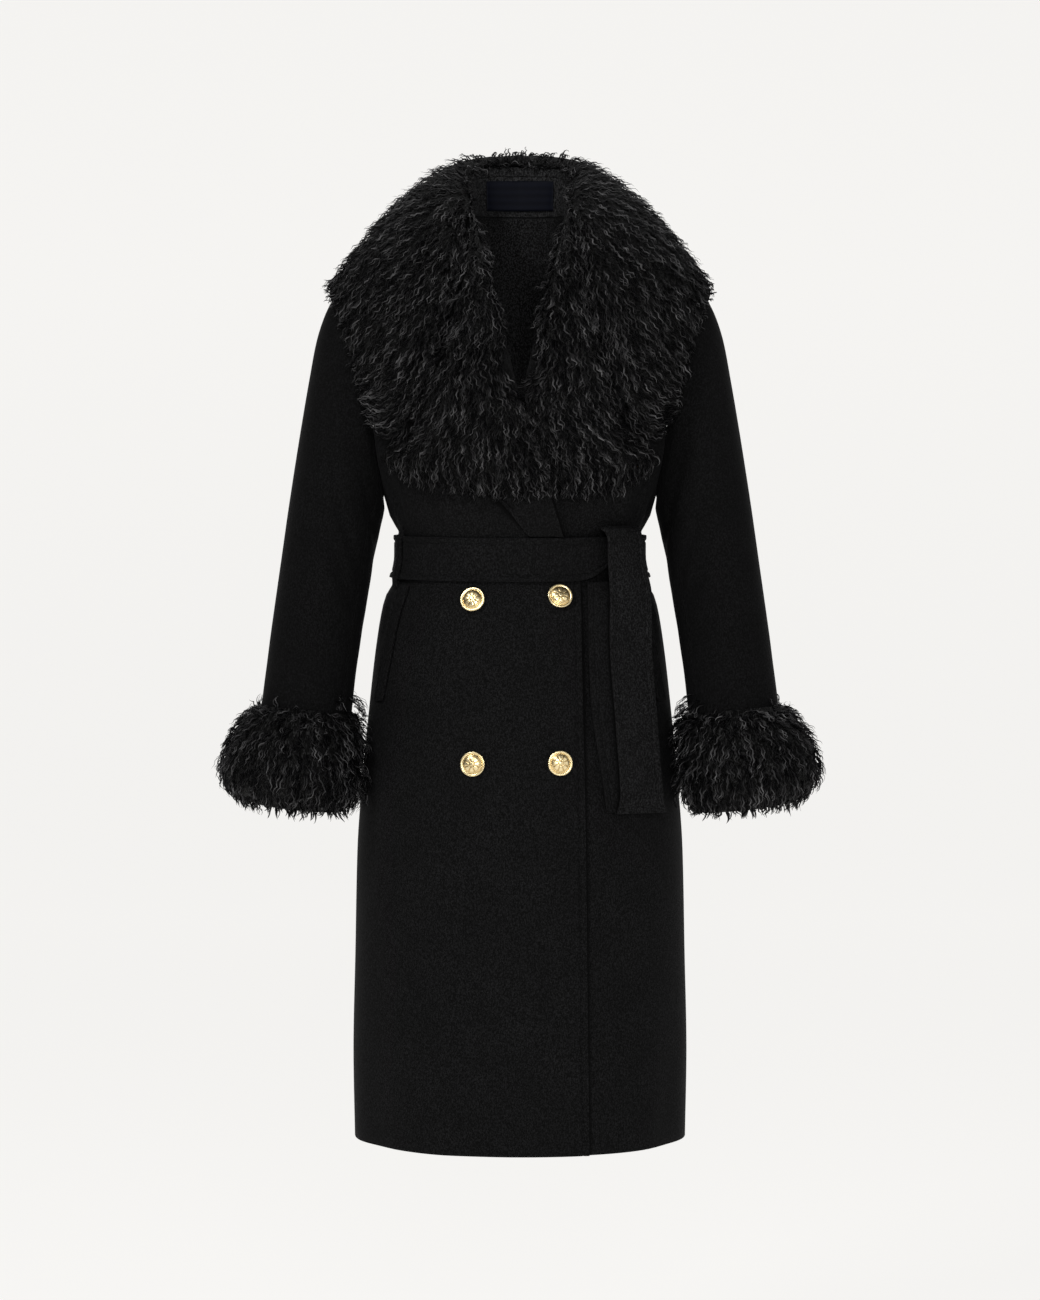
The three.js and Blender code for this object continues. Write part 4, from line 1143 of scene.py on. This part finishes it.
fur_top = len(LAPEL_FUR["roll"]) - 1
fur_up = np.linspace(0, fur_top, 60)[::-1]
fur_across = np.linspace(1, 0, 40)
for side_name, sign, under in (("right", -1, upper_lift), ("left", 1, no_lift)):
    x, z = lapel_grid(LAPEL_FUR, fur_up, fur_across, sign, 14, 12)
    root = under(x, z) + WOOL + 3 * LAYER
    ends = np.minimum(1, 0.45 + 0.6 * np.minimum(fur_up, fur_top - fur_up))[:, None]
    deep = (column(LAPEL_PILE, "at", "deep")(1 - fur_across)[None, :] - SINK) * ends
    inner = on_chest(x, z, root)
    outer = on_chest(x, z, root + deep + curl_ridges(x, z * 0.9, 1.2))
    pelt(f"fur_lapel_{side_name}", outer, inner, x, z)
    lie = forward_normals(outer)
    lapel_wide = widened(
        outer, lie, (0, True, (0, 0, -1.5), 0.002), (1, True, STRAIGHT, 0.02), (1, False, STRAIGHT, 0.045)
    )
    roots = scattered(LAPEL_TUFTS, outer[:, :37])
    length = kept_short(dice.uniform(16, 26, LAPEL_TUFTS), outer, roots, 10)
    heading = paired(np.ones(LAPEL_TUFTS), dice.normal(0.0, 0.2, LAPEL_TUFTS))
    locks(f"fur_lapel_locks_{side_name}", lapel_wide, roots + [0, PAST], heading, length)

    roll = paired(dice.uniform(0, 54, ROLL_CURLS), dice.uniform(0, 2.5, ROLL_CURLS))
    over = paired(dice.uniform(0.4, 1, ROLL_CURLS), dice.uniform(-0.9, 0.2, ROLL_CURLS))
    length = dice.uniform(10, 18, ROLL_CURLS)
    name = f"fur_lapel_roll_{side_name}"
    rolled = {"strands": 2, "thick": 1.9, "lifted": (-1.0, 3.0), "wild": 1.2}
    locks(name, lapel_wide, roll + [0, PAST], over, length, **rolled)

    gorge = paired(dice.uniform(1, 25, GORGE_TUFTS), dice.uniform(36, 43, GORGE_TUFTS))
    down = paired(np.ones(GORGE_TUFTS), dice.uniform(-0.25, 0.15, GORGE_TUFTS))
    length = kept_short(dice.uniform(14, 24, GORGE_TUFTS), outer, gorge, 6)
    name = f"fur_lapel_gorge_{side_name}"
    locks(name, lapel_wide, gorge + [0, PAST], down, length, strands=2, thick=2.1, lifted=(1.0, 6.0))

# ---- Fur cuffs ----
# A deep band of the same pelt round each sleeve end, crushed where it meets the skirt of the coat.
CUFF_PILE = table("at deep", (0, 4), (0.12, 20), (0.35, 34), (0.6, 39), (0.82, 32), (1, 9))
CUFF = {"top": 12.4, "bottom": 15.35, "inner_top": 11.5, "inner_bottom": 15.15, "crushed": 0.48}
CUFF_ROUND, CUFF_LONG = 57, 95  # mean radius and length of a cuff
CUFF_COLUMNS = 96
CUFF_TUFTS, CRUSHED_TUFTS = 500, 110
cuff_rows = np.linspace(0, 1, 36)
cuff_turns = np.radians(np.linspace(-180, 180, CUFF_COLUMNS + 1)[:-1])
turn, at = np.meshgrid(cuff_turns, cuff_rows)
inner_share = (1 - np.cos(turn)) / 2
cuff_top = CUFF["top"] + (CUFF["inner_top"] - CUFF["top"]) * inner_share
cuff_bottom = CUFF["bottom"] + (CUFF["inner_bottom"] - CUFF["bottom"]) * inner_share
ring = cuff_top + (cuff_bottom - cuff_top) * at
sleeve_end = sleeve(turn, ring)
cuff_normals = grid_normals(sleeve_end, True)
cuff_under = sleeve_end + LAYER * cuff_normals
crushed = CUFF["crushed"] + (1 - CUFF["crushed"]) * smoothstep(np.cos(cuff_turns), -1, -0.2)[None, :]
cuff_deep = np.maximum(column(CUFF_PILE, "at", "deep")(cuff_rows)[:, None] * crushed - SINK, 1.5)
cuff_along = cuff_rows[:, None] * CUFF_LONG
cuff_ridges = curl_ridges(turn * CUFF_ROUND, cuff_along, 1.4) * np.sqrt(cuff_rows)[:, None]
cuff_face = cuff_under + cuff_normals * (cuff_deep + cuff_ridges)[..., None]
cuff_lie = grid_normals(cuff_face, True)
closed_face = np.concatenate([cuff_face, cuff_face[:, :1]], axis=1)
closed_lie = np.concatenate([cuff_lie, cuff_lie[:, :1]], axis=1)
for side_name, sign in SIDES:
    faces = on_side(cuff_face, sign), on_side(cuff_under, sign)
    pelt(f"fur_cuff_{side_name}", *faces, turn * CUFF_ROUND, cuff_along, True)
    face, lie = on_side(closed_face, sign), on_side(closed_lie, sign)
    cuff_wide = widened(face, lie, (0, True, (0, 0, -2.0), 0.0), (0, False, (0, 0, 0.5), 0.03))
    roots = scattered(CUFF_TUFTS, face)
    length = kept_short(dice.uniform(16, 26, CUFF_TUFTS), face, roots, 6)
    heading = paired(np.ones(CUFF_TUFTS), dice.normal(0, 0.3, CUFF_TUFTS))
    name = f"fur_cuff_locks_{side_name}"
    locks(name, cuff_wide, roots + [PAST, 0], heading, length, thick=3.0, lifted=(-2.0, 5.0))

    inside = (CUFF_COLUMNS - dice.uniform(-20, 13, CRUSHED_TUFTS)) % CUFF_COLUMNS
    crushed_in = paired(dice.uniform(-6, 24, CRUSHED_TUFTS), inside)
    astray = paired(np.ones(CRUSHED_TUFTS), dice.normal(0, 0.5, CRUSHED_TUFTS))
    length = kept_short(dice.uniform(15, 24, CRUSHED_TUFTS), face, crushed_in, 8)
    name = f"fur_cuff_inside_{side_name}"
    locks(name, cuff_wide, crushed_in + [PAST, 0], astray, length, thick=2.0, lifted=(2.0, 13.0))

    rim = paired(dice.uniform(0, 4, CURLS), dice.uniform(0, CUFF_COLUMNS, CURLS))
    stray = paired(dice.uniform(-0.5, 1, CURLS), dice.normal(0, 0.6, CURLS))
    length = dice.uniform(9, 16, CURLS)
    name = f"fur_cuff_rim_{side_name}"
    locks(name, cuff_wide, rim + [PAST, 0], stray, length, strands=2, thick=1.9, lifted=(-1.0, 4.0), wild=1.2)

# ---- Belt ----
# A self tie belt of the same wool, 50 mm wide with stitched edges, through a carrier at each side seam
# and tied once at the wearer's left front, so that one tail hangs over the knot and one behind it.
BELT_THICK = 3.2
KNOT = {"angle": 50, "half_height": 27, "half_reach": 0.15, "deep": 9, "pinch": 24, "pinch_reach": 0.24}
BELT_GROOVE = 1.2
BELT_MIDDLE = (BELT_TOP + BELT_BOTTOM) / 2
BAND_LIFT = LAP + LAYER


def knot_pull(turn):
    """How near the knot is, as a bell curve."""
    return np.exp(-(((turn - math.radians(KNOT["angle"])) / KNOT["pinch_reach"]) ** 2))


band_turns = np.radians(np.linspace(-180, 180, 181)[:-1])
strip_across = np.concatenate([np.linspace(0, 0.2, 8), np.linspace(0.3, 0.7, 4), np.linspace(0.8, 1, 8)])


def belt_band(lift, worked):
    """Rows from the belt's lower to its upper edge. The knot gathers the lower edge up."""
    turn, up = np.meshgrid(band_turns, strip_across)
    low = BELT_BOTTOM + KNOT["pinch"] * knot_pull(turn)
    z = low + (BELT_TOP - low) * up
    distance = np.minimum(up, 1 - up) * (BELT_TOP - BELT_BOTTOM)
    gathers = 1.0 * knot_pull(turn) * np.sin(up * 14 + turn * 9)
    return on_torso(turn, z, lift + worked * (felled_edge(distance, BELT_GROOVE) + gathers))


band_face = belt_band(BAND_LIFT + BELT_THICK, 1)
belt_carriers = ["front_right", "front_left", "back_left", "back_right"]
cloth("belt_band", band_face, belt_band(BAND_LIFT, 0), black_wool, "stretched", belt_carriers, round_=True)

knot_turn, knot_up = np.meshgrid(np.linspace(-1, 1, 28), np.linspace(-1, 1, 34))
crown = np.sqrt(np.maximum(0, 1 - knot_up**4)) * np.sqrt(np.maximum(0, 1 - knot_turn**4))
knot_z = BELT_MIDDLE + knot_up * KNOT["half_height"]
knot_angle = math.radians(KNOT["angle"]) + knot_turn * KNOT["half_reach"]
knot_wraps = 1.4 * np.sin(knot_up * 4.2 + knot_turn * 2.6) * crown


def knot(height, wraps):
    """A soft bundle whose wraps show as slanted swells."""
    lift = BAND_LIFT + BELT_THICK + LAYER + height * (0.35 + 0.65 * crown) + wraps * knot_wraps
    return on_torso(knot_angle, knot_z, lift)


knot_face = knot(KNOT["deep"] - 1, 1)
cloth("belt_knot", knot_face, knot(0, 0), black_wool, "folded", "belt_band")

FRONT_TAIL = table(
    "z left right left_y right_y",
    (-679, 109, 165, -135, -112),
    (-660, 113, 162, -134, -112),
    (-574, 107.5, 155, -127, -104),
    (-480, 101.4, 149, -118, -94),
    (-435, 102, 149, -112, -84),
    (-400, 100.5, 142, -109, -78),
    (-372, 100, 139, -109, -74),
    (-362, 96, 135, -109, -73),
    (-358, 91, 131, -105, -69),
)
UNDER_TAIL = table("z x", (-678, 95), (-628, 88), (-560, 78), (-500, 75), (-424, 74))
TAIL_WIDTH = 52
BELT_WIDTH = 50


def tail_levels(rows, count):
    """Heights up a tail: close together over its stitched end, then evenly to its top."""
    foot, head = rows["z"].min(), rows["z"].max()
    return np.concatenate([np.linspace(foot, foot + 11, 9), np.linspace(foot + 15, head, count)])


def tail_work(z):
    """Height of a tail's stitched edges: the lower of the felled profiles from its sides and from its end."""
    sides = np.minimum(strip_across, 1 - strip_across) * BELT_WIDTH
    return np.minimum(felled_edge(sides, BELT_GROOVE)[None, :], felled_edge(z - z[0], BELT_GROOVE)[:, None])


tail_z = tail_levels(FRONT_TAIL, 76)
left, right, left_y, right_y = (
    column(FRONT_TAIL, "z", name)(tail_z)[:, None] for name in ("left", "right", "left_y", "right_y")
)
tail_x = left + (right - left) * strip_across
tail_y = left_y + (right_y - left_y) * strip_across
tail_line = np.stack(np.broadcast_arrays(tail_x, tail_y, tail_z[:, None]), axis=-1)
ripple = 1.2 * np.sin(tail_z / 34)[:, None] * np.sin(np.pi * strip_across)[None, :]
tail_normals = forward_normals(tail_line)
tail_face = tail_line + tail_normals * (tail_work(tail_z) + ripple)[..., None]
tail_back = tail_line + tail_normals * (ripple - BELT_THICK)[..., None]
tail_wool = wool_coating("black_double_faced_wool_belt_end", "#030303", "#252526", 0.02)
cloth("belt_tail_front", tail_face, tail_back, tail_wool, "hung", "belt_knot")

under_z = tail_levels(UNDER_TAIL, 50)
under_edge = front_angle(column(UNDER_TAIL, "z", "x")(under_z), under_z)[:, None]
under_angles = under_edge + strip_across[None, :] * (TAIL_WIDTH / half(under_z))[:, None]
under_height = np.broadcast_to(under_z[:, None], under_angles.shape)
under_face = on_torso(under_angles, under_height, BAND_LIFT + BELT_THICK + tail_work(under_z))
under_back = on_torso(under_angles, under_height, BAND_LIFT)
# The under tail gets a painted shadow beside the front tail's left edge.
under_tail = cloth("belt_tail_under", under_face, under_back, painted_shadow_wool, "hung", "belt_knot")
tail_side = column(FRONT_TAIL, "z", "left")
mark(under_tail, "beside", [tail_side(grid[..., 2]) - grid[..., 0] for grid in (under_face, under_back)])

# ---- Belt carriers ----
# Narrow loops of cloth sewn to the side seams above and below the belt, which passes through them.
LOOP = {"from": 66, "to": 72, "past": 9}
loop_z = np.linspace(BELT_BOTTOM - LOOP["past"], BELT_TOP + LOOP["past"], 50)
loop_share = np.abs(loop_z - BELT_MIDDLE) / ((BELT_TOP - BELT_BOTTOM) / 2 + LOOP["past"])
over_belt = LAP + BELT_THICK + 2 * LAYER + WOOL
loop_arch = over_belt + (LAP + LAYER - over_belt) * smoothstep(loop_share, 0.82, 1)
loop_turns = np.radians(np.linspace(LOOP["from"], LOOP["to"], 9))
turn, height = np.meshgrid(loop_turns, loop_z)
loop_crown = 0.5 * np.sin(np.linspace(0, np.pi, 9))[None, :]
for side_name, sign in SIDES:
    face = on_torso(sign * turn, height, loop_arch[:, None] + loop_crown)
    back = on_torso(sign * turn, height, loop_arch[:, None] - WOOL + SEAM)
    cloth(f"belt_loop_{side_name}", face, back, black_wool, "stretched", "belt_band", 0.5)

# ---- Pocket welts ----
# Slanted welts 24 mm wide, sewn flat along the front, with the pocket mouth at the rear edge.
POCKET = table("z x", (-557, 154), (-511, 145), (-464, 135.6), (-427, 124))
WELT_WIDTH, WELT_STITCH = 24, 4
welt_z = np.linspace(POCKET["z"].min(), POCKET["z"].max(), 60)
welt_across = np.linspace(0, 1, 22)
rear = front_angle(column(POCKET, "z", "x")(welt_z), welt_z)[:, None]
welt_angles = rear + welt_across[None, :] * (WELT_WIDTH / half(welt_z))[:, None]
welt_height = np.broadcast_to(welt_z[:, None], welt_angles.shape)
welt_edge = np.minimum(welt_across, 1 - welt_across) * WELT_WIDTH
welt_ridge = 0.3 * (1 - smoothstep(welt_edge, 2, WELT_STITCH))
welt_work = welt_ridge - 0.5 * np.exp(-(((welt_edge - WELT_STITCH) / 0.9) ** 2))
for side_name, sign in SIDES:
    face = on_torso(sign * welt_angles, welt_height, LAYER + WOOL + welt_work[None, :])
    back = on_torso(sign * welt_angles, welt_height, LAYER)
    cloth(f"pocket_welt_{side_name}", face, back, black_wool, "stretched", f"front_{side_name}", 0.5)

# ---- Buttons ----
# Cast and gold-plated shank buttons, 28 mm across: a polished flat rim round a low dome with a plain
# eight-petalled rosette, with painted shade that leaves the hollows a little darker.
BUTTONS = (
    ("button_top_right", -52, -441),
    ("button_top_left", 44, -437.5),
    ("button_low_right", -52, -622.5),
    ("button_low_left", 44, -621.5),
)
RADIUS, DOME_RADIUS, RIM_THICK, STAND_OFF = 14, 11, 2.4, 1.2


def plated_gold(name, bright, deep):
    """Polished plate: near-mirror with faint cloudiness, and painted shade that darkens the hollows."""
    material, tree = new_material(name)
    painted_hollow_shade = add(tree, "Attribute", attribute_name="painted_hollow_shade")
    place = add(tree, "TexCoord")
    cloud = add(tree, "TexNoise", {"Vector": (place, "Object"), "Scale": 1 / 0.0016, "Detail": 3.0})
    polish = add(tree, "MapRange", {"Value": (cloud, "Fac"), "To Min": 0.26, "To Max": 0.42})
    surfaced(tree, (painted_hollow_shade, "Fac"), bright, deep, None, {"Metallic": 1.0, "Roughness": (polish, "Result")})
    return material


gold_plate = plated_gold("gold_plated_brass", "#fbe6b4", "#b08a40")


def button_profile():
    """Radius and height from the shank's foot round the back and rim, and over the dome as a low ellipse."""
    back = [(0.01, -STAND_OFF), (3, -STAND_OFF), (3, -0.1), (4, 0), (12.6, 0), (13.6, 0.3), (RADIUS, 0.9)]
    rim = [(RADIUS, 1.7), (13.7, 2.2), (13.1, RIM_THICK), (12.4, RIM_THICK), (11.7, 2.2), (11.3, 1.75)]
    rise = np.linspace(0.04, math.pi / 2 - 0.001, 34)
    dome = np.stack([DOME_RADIUS * np.cos(rise), 1.7 + 4.0 * np.sin(rise)], axis=-1)
    return np.concatenate([back, rim, dome]), len(back) + len(rim)


profile, dome_start = button_profile()
button_turns = np.linspace(0, 2 * np.pi, 97)[:-1]
radius, height = profile[:, :1], profile[:, 1:]
on_dome = (np.arange(len(profile)) >= dome_start)[:, None]
petal = np.abs(np.cos(4 * button_turns))[None, :]
reach = radius / DOME_RADIUS
petal_length = smoothstep(reach, 0.24, 0.34) * (1 - smoothstep(reach, 0.74, 0.84))
petal_edge = smoothstep(petal, 0.25, 0.6) * petal_length
eye = 1 - smoothstep(reach, 0.16, 0.22)
ring_line = np.exp(-(((reach - 0.9) / 0.035) ** 2))
relief = on_dome * (0.22 * petal_edge + 0.28 * eye + 0.16 * ring_line)
# Painted shade: the dome is darker except on the raised petals, eye and ring line.
painted_hollow_shade = on_dome * (1 - np.clip(petal_edge + eye + ring_line, 0, 1)) * (1 - smoothstep(reach, 0.93, 0.99))
turned = radius * np.cos(button_turns), radius * np.sin(button_turns), height + relief
button_face = np.stack(turned, axis=-1)
button_faces = sheet_faces(len(profile), len(button_turns), True).tolist()
for name, x, z in BUTTONS:
    x, z = np.array(x, float), np.array(z, float)
    angle = front_angle(x, z)
    normal = surface_normal(torso, angle, z, 1, NECK)
    across = unit(np.cross([0, 0, 1.0], normal))
    axes = np.stack([across, np.cross(normal, across), normal])
    seat = on_torso(angle, z, LAP + SEAM + STAND_OFF)
    button = put_mesh(name + "_cast", seat + button_face.reshape(-1, 3) @ axes, button_faces, gold_plate)
    mark(button, "painted_hollow_shade", np.broadcast_to(painted_hollow_shade * 0.75, button_face.shape[:2]))
    placed(button, name)

# ---- Floor and light ----
# A pale seamless sweep that curves up behind, and broad soft lights: one high at the front left, one
# at the right, one ahead that looks into the neck, and one above that picks out the fur's rim.
FLOOR = -1.46
SWEEP = {"half": 6.0, "back": 5.2, "bend": 1.6, "top": 5.0}
bend = np.linspace(0.1, np.pi / 2, 14)
sweep_y = [-SWEEP["half"], SWEEP["back"], *(SWEEP["back"] + SWEEP["bend"] * np.sin(bend))]
sweep_y = np.array([*sweep_y, SWEEP["back"] + SWEEP["bend"]])
sweep_z = np.array([0, 0, *(SWEEP["bend"] * (1 - np.cos(bend))), SWEEP["top"]]) + FLOOR
sweep_x = np.array([-SWEEP["half"], SWEEP["half"]])
sweep = np.stack(np.broadcast_arrays(sweep_x, sweep_y[:, None], sweep_z[:, None]), axis=-1)
# Matt paper. It glows a little, so that the backdrop stays even and nearly white.
paper, tree = new_material("pale_paper_sweep")
matt = add(
    tree,
    "BsdfPrincipled",
    {
        "Base Color": linear("#6e6d6b"),
        "Roughness": 1.0,
        "Specular IOR Level": 0.0,
        "Emission Color": linear("#f5f4f2"),
        "Emission Strength": 0.913,
    },
)
add(tree, "OutputMaterial", {"Surface": (matt, "BSDF")})
floor = put_mesh("floor", sweep.reshape(-1, 3) * 1000, sheet_faces(len(sweep_y), 2).tolist(), paper)

world = bpy.data.worlds.new("studio")
world.use_nodes = True
bpy.context.scene.world = world
backdrop = world.node_tree.nodes["Background"].inputs
backdrop["Color"].default_value = linear("#9a9a9a")
backdrop["Strength"].default_value = 0.28
# Name, place, target, width, height and power.
LIGHTS = (
    ("key_softbox", (-1.9, -2.5, 2.3), (0, 0, -0.45), 0.8, 0.8, 64),
    ("fill_softbox", (2.6, -2.6, 0.4), (0, 0, -0.5), 2.0, 2.0, 14),
    ("front_softbox", (0.2, -4.3, 0.5), (0, 0, -0.2), 1.0, 0.8, 58),
    ("top_softbox", (0.2, 0.6, 2.4), (0, 0, -0.2), 2.6, 1.2, 40),
)
for name, place, target, wide, tall, power in LIGHTS:
    lamp = bpy.data.lights.new(name, "AREA")
    lamp.shape = "RECTANGLE"
    lamp.size, lamp.size_y = wide, tall
    lamp.energy = power
    light = bpy.data.objects.new(name, lamp)
    light.location = place
    light.rotation_euler = aimed(place, target)
    bpy.context.scene.collection.objects.link(light)
